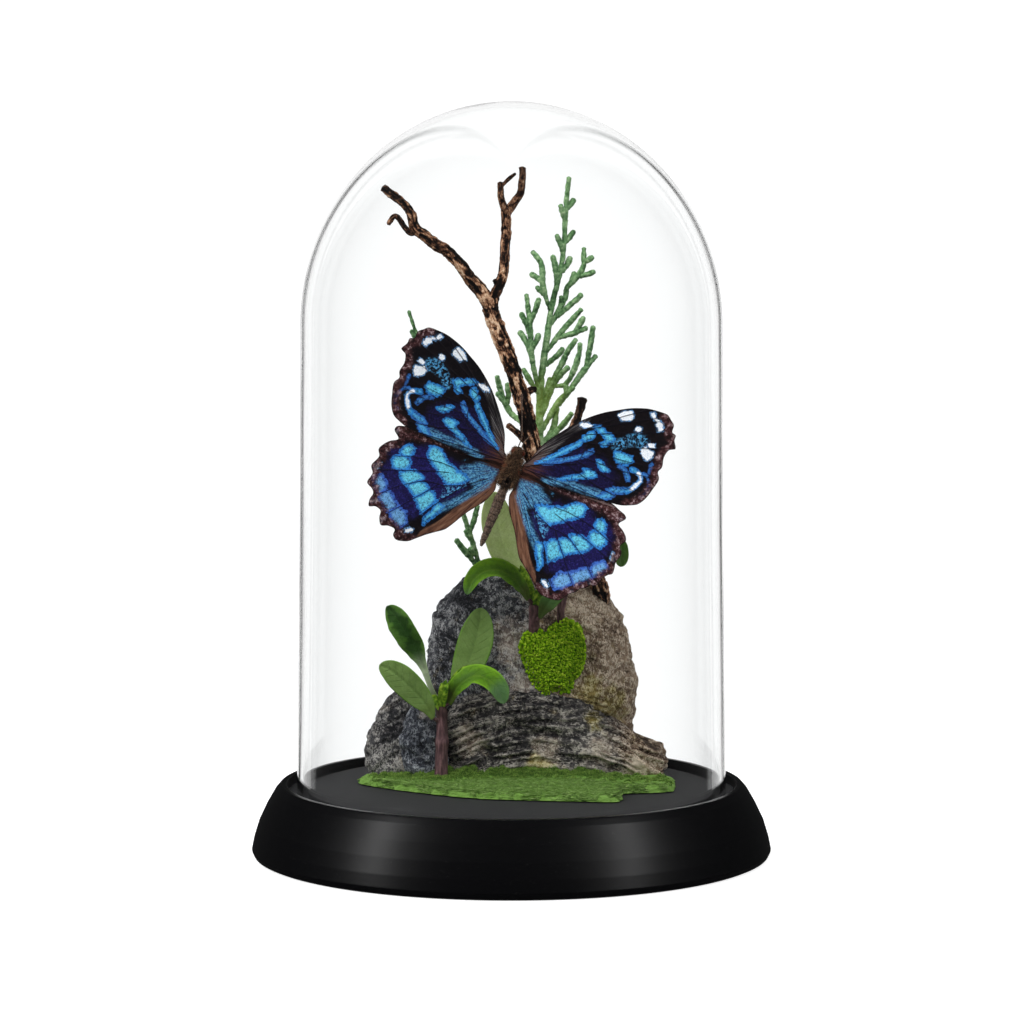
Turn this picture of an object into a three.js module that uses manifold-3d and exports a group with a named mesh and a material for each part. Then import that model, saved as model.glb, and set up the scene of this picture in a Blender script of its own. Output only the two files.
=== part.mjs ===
// A blue butterfly on a forked twig, with stones, sprouts and moss, under a glass dome on a round base.
// Millimetres. +X is right, +Y is away from the front, +Z is up, and the origin is the centre of the
// base's underside. Every piece is one named mesh, and touching pieces keep a gap of GAP.
import * as THREE from "three";
import { mergeVertices } from "three/addons/utils/BufferGeometryUtils.js";
import Module from "manifold-3d";

const wasm = await Module();
wasm.setup();

// ---- driving dimensions ----
const GAP = 0.3;
const BASE_RADIUS = 69.6;
const BASE_HEIGHT = 19.6;
const LIP_OUTER = 62;
const LIP_INNER = 60.2;
const GROOVE_INNER = 54.3;
const GROOVE_FLOOR = 16.8;
const PLATE_TOP = 18.3;
const DOME_FOOT_RADIUS = 57.5;
const DOME_SHOULDER_RADIUS = 56;
const DOME_SHOULDER_Z = 142;
const DOME_TOP = 201.2;
const GLASS_THICKNESS = 2.2;
const ROUND_SIDES = 32;
const GROUND = PLATE_TOP + GAP;
const CUT_CLEARANCE = 1.3 * GAP; // faceted neighbours come a little closer than they are grown

const BODY_CENTRE = [-0.2, -13, 104.2];
const BODY_LEAN = THREE.MathUtils.degToRad(21.5); // the head leans to the right of straight up
const WING_RAISE = THREE.MathUtils.degToRad(9); // the wings rise from the back like a shallow V
const WING_THICKNESS = 0.35;

// ---- shape helpers ----
const at = (x, y, z) => new THREE.Vector3(x, y, z);

function cleaned(geometry) {
  const bare = new THREE.BufferGeometry().setAttribute("position", geometry.getAttribute("position"));
  bare.setIndex(geometry.index);
  const merged = mergeVertices(bare, 1e-4);
  const corners = merged.index.array;
  const kept = [];
  for (let i = 0; i < corners.length; i += 3) {
    const [a, b, c] = corners.slice(i, i + 3);
    if (a !== b && b !== c && c !== a) kept.push(a, b, c);
  }
  return merged.setIndex(kept);
}

function solid(geometry) {
  const body = cleaned(geometry);
  const build = (corners) =>
    new wasm.Manifold(
      new wasm.Mesh({
        numProp: 3,
        vertProperties: new Float32Array(body.attributes.position.array),
        triVerts: new Uint32Array(corners),
      }),
    );
  const made = build(body.index.array);
  return made.volume() > 0 ? made : build([...body.index.array].reverse());
}

function geometryOf(made) {
  const mesh = made.getMesh();
  return new THREE.BufferGeometry()
    .setAttribute("position", new THREE.BufferAttribute(new Float32Array(mesh.vertProperties), 3))
    .setIndex(new THREE.BufferAttribute(new Uint32Array(mesh.triVerts), 1));
}

// The solid moved outwards along its own normals, used to cut a neighbour with clearance.
function grown(made, distance) {
  const geometry = geometryOf(made);
  geometry.computeVertexNormals();
  const { position, normal } = geometry.attributes;
  for (let i = 0; i < position.count; i++) {
    position.setXYZ(
      i,
      position.getX(i) + distance * normal.getX(i),
      position.getY(i) + distance * normal.getY(i),
      position.getZ(i) + distance * normal.getZ(i),
    );
  }
  return solid(geometry);
}

function clearOf(made, ...neighbours) {
  const cut = neighbours.reduce((left, other) => left.subtract(grown(other, CUT_CLEARANCE)), made);
  const pieces = cut.decompose();
  return pieces.reduce((most, piece) => (piece.volume() > most.volume() ? piece : most));
}

const joined = (first, ...others) => others.reduce((sum, other) => sum.add(other), first);

// A closed skin over rings of equal point counts, its first and last ring closed by a fan.
function skin(rings) {
  const count = rings[0].length;
  const corners = [];
  for (let r = 0; r + 1 < rings.length; r++) {
    for (let i = 0; i < count; i++) {
      const a = r * count + i;
      const b = r * count + ((i + 1) % count);
      corners.push(a, b, a + count, b, b + count, a + count);
    }
  }
  const last = (rings.length - 1) * count;
  for (let i = 1; i + 1 < count; i++) {
    corners.push(i + 1, i, 0, last + i, last + i + 1, last);
  }
  return solid(new THREE.BufferGeometry().setFromPoints(rings.flat()).setIndex(corners));
}

const curveThrough = (points) =>
  new THREE.CatmullRomCurve3(points.map((p) => at(...p)), false, "centripetal");

// A round, tapering stem along a curve. bark adds a slow unevenness to the radius.
function stem(points, radii, { sides = 5, steps = points.length, bark = 0 } = {}) {
  const curve = curveThrough(points);
  const frames = curve.computeFrenetFrames(steps, false);
  const rings = [];
  for (let s = 0; s <= steps; s++) {
    const t = s / steps;
    const centre = curve.getPointAt(t);
    const radius = interpolate(radii, t);
    rings.push(
      Array.from({ length: sides }, (_, i) => {
        const angle = (2 * Math.PI * i) / sides;
        const reach = radius * (1 + bark * Math.sin(3 * angle + 2.4 * s));
        return centre
          .clone()
          .addScaledVector(frames.normals[s], reach * Math.cos(angle))
          .addScaledVector(frames.binormals[s], reach * Math.sin(angle));
      }),
    );
  }
  return skin(rings);
}

// The value at fraction t of a short list of evenly spaced values.
function interpolate(values, t) {
  const place = t * (values.length - 1);
  const low = Math.min(Math.floor(place), values.length - 2);
  return THREE.MathUtils.lerp(values[low], values[low + 1], place - low);
}

// A leaf blade along its midrib. halfWidths are read at even steps, facing is the way its upper side
// looks, and cup lifts both edges towards that side by a share of the half width.
function leaf(midrib, halfWidths, facing, { thickness = 0.7, cup = 0.25, steps = 6 } = {}) {
  const curve = curveThrough(midrib);
  const rings = [];
  for (let s = 0; s <= steps; s++) {
    const t = s / steps;
    const centre = curve.getPointAt(t);
    const along = curve.getTangentAt(t);
    const side = along.clone().cross(at(...facing)).normalize();
    const up = side.clone().cross(along);
    const half = interpolate(halfWidths, t);
    const thick = thickness / 2;
    const section = [[-1, 0], [-0.5, thick], [0.5, thick], [1, 0], [0.5, -thick], [-0.5, -thick]];
    rings.push(
      section.map(([across, lift]) =>
        centre
          .clone()
          .addScaledVector(side, half * across)
          .addScaledVector(up, lift + cup * half * across * across),
      ),
    );
  }
  return skin(rings);
}

// A stone from level sections [z, left, right, front, back]. Each is a rounded oblong, roughened by
// slow waves whose height is rough and whose phase is seed.
function stone(levels, { seed = 0, rough = 0.7, sides = 24, squareness = 0.72 } = {}) {
  const wave = (p) =>
    Math.sin(0.31 * p.x + 0.23 * p.z + seed) * Math.sin(0.37 * p.y - 0.29 * p.z + 2 * seed) +
    0.6 * Math.sin(0.83 * p.z + 0.51 * p.x + 3 * seed) * Math.cos(0.67 * p.y + 0.4 * p.x);
  const rings = levels.map(([z, left, right, front, back], level) =>
    Array.from({ length: sides }, (_, i) => {
      const angle = (2 * Math.PI * i) / sides;
      const round = (value) => Math.sign(value) * Math.abs(value) ** squareness;
      const across = round(Math.cos(angle));
      const deep = round(Math.sin(angle));
      const point = at(
        (left + right + across * (right - left)) / 2,
        (front + back + deep * (back - front)) / 2,
        z,
      );
      const bump = level === 0 ? 0 : rough * wave(point);
      return point.add(at(across * bump, deep * bump, 0));
    }),
  );
  return skin(rings);
}

function turned(profile) {
  const outline = profile.map(([radius, z]) => new THREE.Vector2(radius, z));
  return solid(new THREE.LatheGeometry(outline, ROUND_SIDES).rotateX(Math.PI / 2));
}

// ---- base and dome ----
function base() {
  return turned([
    [0, 0], [67.5, 0], [68.9, 0.6], [BASE_RADIUS, 2], [68.9, 5.4], [67.6, 9.6], [65.6, 13.8], [63.3, 17.8],
    [LIP_OUTER, BASE_HEIGHT - 0.3], [61.6, BASE_HEIGHT], [LIP_INNER, BASE_HEIGHT], [LIP_INNER, GROOVE_FLOOR],
    [GROOVE_INNER, GROOVE_FLOOR], [GROOVE_INNER, PLATE_TOP], [0, PLATE_TOP],
  ]);
}

// Half the dome's section: a nearly straight wall under an oval cap, from the axis down to the foot.
function domeLine(inset, foot, capSteps) {
  const radius = DOME_SHOULDER_RADIUS - inset;
  const rise = DOME_TOP - DOME_SHOULDER_Z - inset;
  const cap = Array.from({ length: capSteps + 1 }, (_, i) => {
    const angle = (Math.PI / 2) * (1 - i / capSteps);
    return [i === 0 ? 0 : radius * Math.cos(angle), DOME_SHOULDER_Z + rise * Math.sin(angle)];
  });
  return [...cap, [radius + 0.5, 85], [DOME_FOOT_RADIUS - inset, foot]];
}

function dome() {
  const foot = GROOVE_FLOOR + GAP;
  return turned([...domeLine(0, foot, 6), ...domeLine(GLASS_THICKNESS, foot, 5).reverse()]);
}

// ---- stones ----
const ledge = stone(
  [
    [GROUND, -17.5, 42.3, 3.6, 27], [23.5, -18.2, 42.6, 2.6, 27.5], [26.6, -18.6, 41.8, 2.4, 26],
    [29, -18.6, 36.5, 2.6, 22], [32, -18.3, 31.8, 3, 18.5], [35.5, -17.6, 27, 3.2, 16],
    [38.5, -16, 22.4, 3.4, 14], [41, -13, 18.5, 3.8, 12], [42.7, -7.5, 14.5, 4.8, 10.5],
  ],
  { seed: 1.3, rough: 0.55, sides: 20, squareness: 0.6 },
);
const leftFrontStone = clearOf(
  stone(
    [
      [GROUND, -28.5, -18.5, 1.6, 13], [25, -29.4, -17.6, 1.2, 14], [31, -29.5, -17.2, 1.4, 14],
      [35.5, -28.8, -17.6, 2.2, 13.4], [38.8, -27.2, -19, 3.6, 12], [40.7, -25, -21.4, 5.4, 9.5],
    ],
    { seed: 4.1, rough: 0.5, sides: 14 },
  ),
  ledge,
);
const leftBackStone = clearOf(
  stone(
    [
      [GROUND, -38.4, -24, 5, 21], [24, -39.3, -23.5, 4.4, 22], [30, -39.2, -23.5, 5, 22],
      [33.6, -37.2, -24, 7, 21], [38, -35, -25.5, 8.6, 19.5], [41, -33.4, -27.4, 10, 17.5],
      [42.4, -32, -29.6, 12, 15],
    ],
    { seed: 2.6, rough: 0.5, sides: 16, squareness: 0.66 },
  ),
  leftFrontStone,
  ledge,
);
const roughBoulder = stone(
  [
    [GROUND, -23, 32, 12.6, 37.6], [34, -23.4, 33.6, 10.5, 38.8], [38, -22.8, 34, 7, 38.8],
    [41, -22.3, 34.1, 5.4, 38.6], [47, -22.7, 33.7, 5.7, 38.2], [55, -22.3, 31.8, 6.5, 37.2],
    [62, -21.1, 29.2, 7.9, 35.4], [66, -19, 27.4, 9.2, 34], [69.6, -15.6, 25.1, 10.9, 32.2],
    [73, -11.6, 22, 13.1, 30], [75.6, -6.4, 18, 15.8, 27], [77, 1, 12.5, 18.8, 24],
  ],
  { seed: 0.4, rough: 0.6, sides: 20, squareness: 0.8 },
);

// ---- twig ----
const trunkPath = [
  [24.6, 17.6, 66.4], [23.4, 13, 71.6], [18.4, 7, 80.5], [12.2, 0, 90.1], [7.8, -7, 99.5],
  [5.8, -10.4, 108.2], [4.3, -10, 116.7], [1.7, -9, 126.8], [-0.4, -8, 132.9], [-2.5, -7, 138.4],
  [-4.5, -6, 143.6], [-5.9, -5.5, 147.6],
];
const twigTrunk = joined(
  stem(trunkPath, [2.3, 2.5, 2.4, 2.5, 2.45, 2.2, 2.1, 1.95, 2.1], { sides: 7, steps: 13, bark: 0.05 }),
  stem([[-5.7, -5.5, 147], [-7.2, -5.5, 150.2]], [2, 1.75], { sides: 8, steps: 1 }),
  stem([[-5.6, -5.5, 147], [-4.4, -5.4, 150]], [1.7, 1.45], { sides: 8, steps: 1 }),
  stem([[3.3, -9, 123.2], [5, -8, 125.2], [6.6, -7, 125.4]], [1.1, 0.8], { steps: 2 }),
  stem([[4.9, -10, 110.6], [2, -9.6, 113.7], [-1.2, -9, 116.3]], [0.9, 0.7], { steps: 2 }),
  stem([[9.4, -4.6, 96], [14.5, -2.6, 111.7], [18.2, -1, 118.7], [18.8, -1, 123]], [1.2, 1.1, 1.2]),
);
const twigLeftFork = clearOf(
  joined(
    stem(
      [
        [-6.4, -5.5, 149.2], [-10.7, -5.5, 154.3], [-13.7, -6, 158.4], [-16.7, -6, 161.6],
        [-19.9, -6.5, 163.5], [-22.9, -7, 166], [-25.1, -7, 167.6], [-26.2, -7, 171.3],
        [-27.7, -7, 173.5], [-29.6, -7, 175.2], [-33.9, -7, 178.6],
      ],
      [1.7, 1.55, 1.45, 1.35, 1.15, 1.05],
      { sides: 6, steps: 12, bark: 0.06 },
    ),
    stem([[-25.1, -7, 167.1], [-26.7, -8, 166.6], [-30.4, -9, 171], [-32.5, -9, 168.7]], [0.75, 0.6]),
  ),
  twigTrunk,
);
const twigRightFork = clearOf(
  joined(
    stem(
      [
        [-4.9, -5.5, 148.6], [-3.2, -5, 152.3], [-2.2, -4, 156.2], [-1.7, -3, 161.5], [-1.4, -2, 166.5],
        [-1.4, -1, 173],
      ],
      [1.4, 1.3, 1.25, 1.2, 1.3],
      { sides: 6, steps: 6, bark: 0.06 },
    ),
    stem([[-1.4, -1, 172], [0.9, 1, 174.8], [2.3, 1, 176.9], [2.8, 1, 180.4], [3, 1, 184.1]], [1.2, 1, 0.9]),
    stem([[-1.4, -1.2, 172], [-2.7, -3, 176.2], [-3, -3, 180]], [1.1, 0.9, 0.8]),
    stem([[-3, -3, 178.6], [1.2, -4, 182.2]], [0.5, 0.4], { steps: 1 }),
    stem([[-3.3, -5, 152.3], [-4.6, -6, 154.4]], [0.8, 0.65], { steps: 1 }),
  ),
  twigTrunk,
  twigLeftFork,
);

// ---- sprouts ----
const frontSproutStem = joined(
  stem(
    [[-18.9, -2, GROUND], [-18.8, -2, 24], [-18.6, -1.6, 31], [-18.6, -1.4, 38], [-19, -1.6, 41]],
    [1.9, 1.75, 1.6, 1.5, 1.3],
  ),
  leaf([[-18.6, -2, 39.5], [-18.2, -4.4, 44.2], [-17.4, -5, 47.8]], [0.5, 1.1, 0.9, 0.2], [0, -1, 0], {
    steps: 4,
  }),
  leaf([[-18.8, -2, 39.2], [-20, -3.4, 42], [-21, -3.6, 43.6]], [0.5, 0.8, 0.2], [0, -1, 0], { steps: 4 }),
);
const frontLeaves = {
  front_leaf_upper: leaf(
    [
      [-19.9, -2, 42.2], [-21.4, -3, 45.3], [-23.3, -3.5, 50.7], [-25.2, -4, 55.1], [-27.5, -5, 59.8],
      [-30.4, -5, 64.3], [-33.6, -4, 67.6],
    ],
    [0.8, 0.6, 0.7, 1.2, 2.6, 3.1, 2.9, 2.4, 0.6],
    [-0.35, -1, 0.1],
  ),
  front_leaf_lower: leaf(
    [
      [-20.9, -3.2, 37], [-22.2, -4, 40.2], [-24.9, -5, 43.7], [-28.6, -6.5, 47.7], [-32, -7.5, 50.6],
      [-34.8, -8, 51.8],
    ],
    [0.6, 1.6, 2.5, 3.2, 3.5, 3.1, 2.3, 0.7],
    [0, -1, 0.15],
    { cup: 0.1 },
  ),
  front_leaf_pale: leaf(
    [
      [-17, -0.4, 41.4], [-14.9, 0, 45], [-11.9, 1, 50.7], [-9.9, 1.4, 56.3], [-8.7, 1.4, 61.7],
      [-8.1, 1, 66.2],
    ],
    [0.7, 1.4, 3.2, 4.2, 4.5, 4.4, 3.7, 0.9],
    [0, -1, 0.1],
    { cup: 0.08 },
  ),
  front_leaf_arching: leaf(
    [
      [-16.7, -2.8, 41], [-15.4, -4.2, 44.4], [-12.9, -6, 47.4], [-9.7, -7.5, 49.2], [-6.2, -9, 48.4],
      [-3.5, -10, 46], [-1.8, -10.5, 42.4],
    ],
    [0.7, 1.3, 2.2, 2.7, 2.9, 2.8, 2.2, 0.7],
    [0.2, -0.6, 1],
    { cup: 0.3 },
  ),
};
const rearSproutStem = joined(
  stem([[6.1, 10, 55.6], [6.1, 6.4, 59.4], [6.1, 4.6, 63], [6.1, 3.8, 67.4]], [1.6, 1.55, 1.4, 1.2]),
  leaf(
    [[5.9, 3.6, 66.2], [4.9, 2.6, 71.1], [3.6, 2.2, 74.4], [2.4, 2.2, 77.7]],
    [0.6, 1.2, 1.1, 0.2],
    [0, -1, 0],
    { steps: 5 },
  ),
);
const rearLeaves = {
  rear_leaf_pale: leaf(
    [
      [5.6, 5.6, 68.4], [3.8, 5.8, 71.7], [0.4, 6, 76.7], [-1.8, 6, 81.8], [-3.3, 6, 87], [-4.2, 5.7, 92.3],
      [-4.4, 5, 97],
    ],
    [0.7, 1.4, 2.8, 3.9, 4.2, 4.2, 3.5, 0.8],
    [0, -1, 0.05],
    { cup: 0.1 },
  ),
  rear_leaf_arching: leaf(
    [
      [4.6, 2.2, 68.4], [3.2, 0.9, 71.4], [0.4, -0.5, 74.6], [-3.3, -2, 76.9], [-7.3, -3, 76.7],
      [-10.2, -4, 74.4], [-11.8, -4.5, 70.8],
    ],
    [0.6, 1.2, 1.8, 2.4, 2.6, 2.4, 1.7, 0.6],
    [-0.3, -0.6, 1],
    { cup: 0.3 },
  ),
  rear_leaf_right: leaf(
    [[7.6, 2.6, 63.4], [8.9, 1.4, 66.4], [10.7, 0.6, 69.1], [13, 0.2, 71.6], [15.4, 0.2, 74.2]],
    [0.4, 1.4, 2.3, 2.5, 1.8, 0.4],
    [0.2, -1, 0.3],
  ),
};
const sideSproutStem = stem(
  [[13.4, 10.4, 56.8], [13.3, 6.6, 61.5], [13.6, 5.2, 67.4], [17, 4.2, 74.4], [21.4, 3.4, 80], [25, 3, 82.8]],
  [1.2, 1.1, 0.9, 0.7, 0.6, 0.5],
  { steps: 5 },
);
const sideLeaf = leaf(
  [[25.2, 2.9, 83], [27.2, 2.6, 85], [28.9, 2.3, 84.5], [29.5, 2.2, 81.2], [29.3, 2.1, 77.3]],
  [0.45, 0.5, 0.7, 1.2, 1.8, 1.8, 1.3, 0.5],
  [0, -1, 0.1],
  { cup: 0.15 },
);

// ---- conifer sprigs: a main stem with blunt scaly branchlets, each a list of [x, z] places ----
const SPRIG_RIPPLE = 1.5;
const TALL_SPRIG_PATH = [
  [6.7, 20, 74], [7.2, 17, 94], [7.6, 14, 111.3], [7.8, 13, 124.8], [8.8, 12, 132.7], [10.4, 11, 144],
  [11.3, 11, 148.8], [12.7, 10, 154.2], [13.8, 10, 160.4], [14.6, 9, 173.2], [15.4, 8, 181.4],
];
const TALL_SPRIG_BRANCHLETS = [
  [[14.6, 172.5], [17, 175.5]], [[14.5, 169], [13, 174]], [[14.2, 163.5], [17, 167]],
  [[13.8, 161], [12, 166]], [[12.2, 151], [12, 156], [11, 160.5]], [[13.4, 155.5], [16, 160]],
  [[10.4, 145.5], [8.5, 152], [8, 158], [5.5, 161.5]], [[8.5, 153], [5, 155.5]], [[9, 149.5], [6.5, 152]],
  [[7.8, 121.5], [6.5, 127.5], [5.5, 133], [5, 141], [4, 150]], [[5, 142], [7.5, 149]],
  [[5, 139], [2.5, 145]], [[5.5, 133], [4, 137], [2, 140]], [[5.5, 135], [7.5, 139.5]],
  [[7.4, 123], [4.5, 127.5], [3, 130]], [[10, 141], [14.5, 149], [15, 151.5], [19, 156.5], [19.5, 162.5]],
  [[19.5, 158.5], [22, 160]], [[18, 154.5], [22.5, 156]], [[15.6, 152], [17, 156]],
  [[10.4, 141.5], [13, 145.5], [13.5, 149.5]], [[12, 143.5], [18, 149], [19, 150]],
  [[9.2, 134], [14.5, 141], [19, 146]], [[12.5, 138], [17, 139.5], [20.5, 141]],
  [[17, 139.5], [19.5, 144]], [[9, 130.5], [13, 134], [14, 135.5]],
  [[8.4, 122], [13, 130], [15.5, 135], [17.5, 138]], [[8, 116.5], [12, 126.5], [15.5, 130.5]],
  [[11.6, 125], [14.5, 125.6], [18, 133], [18.5, 137]], [[20, 130], [22, 141.5]],
  [[12.6, 119.6], [20, 130], [23, 133.5]], [[7.6, 112], [13, 121], [17, 125]],
  [[14.6, 122.4], [14.5, 126]], [[8, 109], [11, 113], [12.5, 119.5]], [[8, 109], [13, 113.5], [16.5, 118]],
  [[8, 117], [10.5, 127.5]], [[7.5, 110.5], [3.5, 115], [0, 117.5], [-2.5, 122.5], [-4, 128]],
  [[-1, 120], [-1, 126]], [[-0.5, 118.4], [-4, 123.5]],
];
const LEFT_SPRIG_PATH = [
  [-7.2, 16.5, 71], [-10.1, 13, 81.3], [-13.3, 11, 91.8], [-17, 10, 105.3], [-20.8, 10, 121.5],
  [-24.2, 10, 134.9], [-27.6, 10, 145.6],
];
const LEFT_SPRIG_BRANCHLETS = [
  [[-8.6, 75.6], [-12.5, 80.4], [-15.1, 84]], [[-9.6, 79.1], [-11.6, 81.4]], [[-10, 82], [-12.6, 86.4]],
  [[-11.4, 85], [-9, 93.2]], [[-24.2, 135.6], [-27, 140.4]], [[-14.4, 96], [-10.6, 103]],
  [[-17.4, 107], [-22, 114]], [[-19.4, 116], [-16, 124]], [[-22, 126], [-26.4, 132]],
];

// A sprig is nearly flat: this gives the point at [x, z], a little in front of or behind the main stem
// with the distance from it, so that a branchlet starts inside the one that it grows from.
function onSprig(path, x, z) {
  const above = Math.max(1, path.findIndex((point) => point[2] >= z));
  const [low, high] = [path[above - 1], path[above]];
  const stemX = THREE.MathUtils.mapLinear(z, low[2], high[2], low[0], high[0]);
  const stemY = THREE.MathUtils.mapLinear(z, low[2], high[2], low[1], high[1]);
  return [x, stemY + SPRIG_RIPPLE * Math.sin(0.5 * (x - stemX)), z];
}

function sprig(path, branchlets, stemRadii) {
  const shoots = branchlets.map((places) => {
    const points = places.map(([x, z]) => onSprig(path, x, z));
    return stem(points, [0.6, 0.85, 0.7], { sides: 3, steps: places.length - 1 });
  });
  return joined(stem(path, stemRadii, { steps: 9 }), ...shoots);
}

const tallSprig = sprig(TALL_SPRIG_PATH, TALL_SPRIG_BRANCHLETS, [1.3, 1.25, 1.1, 0.9, 0.8, 0.65]);
const leftSprig = sprig(LEFT_SPRIG_PATH, LEFT_SPRIG_BRANCHLETS, [0.8, 0.7, 0.65, 0.6]);

// ---- stones cut round what stands in them, and the moss ----
const boulder = clearOf(
  roughBoulder, ledge, leftBackStone, leftFrontStone, twigTrunk, rearSproutStem, sideSproutStem, tallSprig,
  leftSprig,
);

// Both moss pieces are outlines with a rounded edge, the mat seen from above and the clump from in front.
function cushion(outline, depth, rounding) {
  const shape = new THREE.Shape();
  shape.setFromPoints(outline.map(([a, b]) => new THREE.Vector2(a, b)));
  return new THREE.ExtrudeGeometry(shape, {
    depth: depth - 2 * rounding,
    bevelThickness: rounding,
    bevelSize: rounding,
    bevelOffset: -rounding,
    bevelSegments: 1,
  }).translate(0, 0, rounding);
}

const MOSS_THICKNESS = 3;
const BANK_THICKNESS = 5.8; // the tufts stand higher along the feet of the stones
const MAT_OUTLINE = [
  [-41, 10], [-41.4, 6], [-39.6, 1], [-35, -4], [-27, -10.5], [-18.9, -16.5], [-8.2, -22.4], [3, -24.8],
  [12.7, -26.2], [20, -27.2], [27, -27.8], [28.9, -25], [29.4, -15], [35.5, -13], [41.6, -11.4], [43.4, -7],
  [43.8, 2], [43.2, 10], [30, 14], [0, 14], [-30, 14],
];
const BANK_OUTLINE = [
  [-33, 8], [-32.4, -0.6], [-27, -1.8], [-19, -2.6], [-10, -2], [2, -1.8], [14, -1.8], [22, -1],
  [26.4, 1], [27, 8],
];
const mossMat = clearOf(
  joined(
    solid(cushion(MAT_OUTLINE, MOSS_THICKNESS, 0.9).translate(0, 0, GROUND)),
    solid(cushion(BANK_OUTLINE, BANK_THICKNESS, 1.6).translate(0, 0, GROUND)),
  ),
  ledge,
  leftFrontStone,
  leftBackStone,
  boulder,
  frontSproutStem,
);
const CLUMP_OUTLINE = [
  [2.6, 56], [4.4, 59.2], [7.4, 59.8], [9, 58.3], [10.6, 60.2], [13.8, 62.3], [17.3, 61], [19.2, 57.6],
  [19.4, 53.8], [19, 49.5], [16.8, 46.5], [15.4, 43.4], [11.7, 43.4], [9.5, 42.3], [6.1, 45.6],
  [4.2, 49.5], [3, 52.6],
];
const mossClump = clearOf(
  solid(cushion(CLUMP_OUTLINE, 10, 1.4).rotateX(Math.PI / 2).translate(0, 12.4, 0)),
  roughBoulder,
  ledge,
  rearSproutStem,
  sideSproutStem,
);

// ---- butterfly: drawn from above with u to one side, v towards the head and w out of its back ----
const placedInsect = new THREE.Matrix4()
  .makeTranslation(...BODY_CENTRE)
  .multiply(
    new THREE.Matrix4().makeBasis(
      at(Math.cos(BODY_LEAN), 0, -Math.sin(BODY_LEAN)),
      at(Math.sin(BODY_LEAN), 0, Math.cos(BODY_LEAN)),
      at(0, -1, 0),
    ),
  );

// [v, half width, half height] along the body from the tail to the front of the head.
const BODY_SECTIONS = [
  [-21.3, 0.3, 0.3], [-20, 0.75, 0.7], [-17.5, 0.95, 0.9], [-14, 1.2, 1.15], [-10, 1.4, 1.35],
  [-6.5, 1.25, 1.3], [-4.9, 1, 1.1], [-3.8, 1.75, 1.6], [-1.5, 2.1, 1.9], [1, 2.1, 1.95], [3.2, 1.6, 1.6],
  [4.1, 1.05, 1.1], [4.9, 1.45, 1.3], [5.9, 1.4, 1.25], [6.8, 0.5, 0.5],
];
const LEGS = [
  [[1.2, 2.6, -0.9], [1.9, 3.9, -2.6], [2.4, 4.6, -5]], [[1.2, 0.6, -0.9], [2.2, 0.4, -3], [3.1, 0.6, -5.6]],
  [[1, -1.6, -0.9], [2.2, -2.6, -2.8], [4.4, -4, -6.4]], [[-1, 2, -0.9], [-1.3, 4.4, -2.6], [0.2, 6.6, -4.4]],
  [[-1, -2.4, -0.9], [-0.6, -4, -3.2], [1.8, -5, -5.6]],
];
const ANTENNAE = [
  [[-0.5, 6, 0.4], [-0.6, 9.4, 1], [-2.5, 14.5, 1.4], [-4.8, 20.2, 1.6]],
  [[0.5, 6, 0.4], [0.5, 8.6, 1], [1.7, 11.2, 1.2]],
];
const PIN_PIT = { v: -2.8, radius: 0.7, depth: 1.1 };

function butterflyBody() {
  const sides = 8;
  const rings = BODY_SECTIONS.map(([v, half, height]) =>
    Array.from({ length: sides }, (_, i) => {
      const angle = (2 * Math.PI * i) / sides;
      return at(half * Math.cos(angle), v, height * Math.sin(angle));
    }),
  );
  const eyes = [-1, 1].map((side) => {
    const eye = new THREE.SphereGeometry(0.75, 6, 4).translate(side * 1.15, 5.4, 0.4);
    return solid(eye);
  });
  const legs = LEGS.map((points) => stem(points, [0.37, 0.3, 0.24], { sides: 3, steps: 2 }));
  const antennae = ANTENNAE.map((points) => stem(points, [0.24, 0.22, 0.22, 0.36], { sides: 3, steps: 4 }));
  const pit = new THREE.CylinderGeometry(PIN_PIT.radius, PIN_PIT.radius, 2, 6).rotateX(Math.PI / 2);
  pit.translate(0.1, PIN_PIT.v, 1.85 - PIN_PIT.depth + 1);
  return joined(skin(rings), ...eyes, ...legs, ...antennae).subtract(solid(pit));
}

const FOREWING = [
  [2.5, 3.4], [3.3, 4.3], [4.9, 9], [7.3, 12.9], [9.6, 16.1], [11.7, 18.7], [14.1, 21.1], [17, 23.5],
  [20, 25.4], [22.5, 26.9], [25, 28], [27.5, 28.8], [30, 29.1], [32.5, 29.1], [33.7, 28.2], [34.9, 27.2],
  [35.2, 25.3], [36.3, 24.9], [36.5, 23.5], [37.5, 21.6], [36.2, 20.8], [35.6, 18.5], [36.1, 15.8],
  [35.6, 14.3], [36.5, 12.7], [36, 9.5], [35.2, 6.6], [33.8, 4.4], [32, 3.4], [30, 2.6], [27.5, 2.2],
  [23.8, 1.9], [19.4, 1.2], [15, 0.8], [10, 0.45], [5.7, 1], [2.5, 1.2],
];
const HINDWING = [
  [2.5, 0.9], [5, 2.4], [12, 3.2], [20, 3], [27.75, 2.1], [30, 1.25], [32.3, 0.4], [31.1, -2.3],
  [33.2, -4], [34.5, -6.2], [33.6, -8.2], [34.7, -10.6], [33.9, -13.2], [34.2, -15.6], [32, -17.6],
  [31.4, -20.6], [29.5, -21.2], [27.6, -23.2], [26.3, -25.2], [24, -26.8], [21.5, -27.4], [18.2, -27],
  [16, -25.6], [13, -23], [10.4, -20.4], [7.8, -16.6], [5.4, -13], [3.4, -10], [2.2, -7], [2, -5.4],
  [2.5, -3.6],
];
const FOREWING_LIFT = 0.5;
const HINDWING_LIFT = FOREWING_LIFT - WING_THICKNESS - GAP;
const LEFT_FOREWING_SWING = THREE.MathUtils.degToRad(-2.8); // the left forewing is set further back

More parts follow.
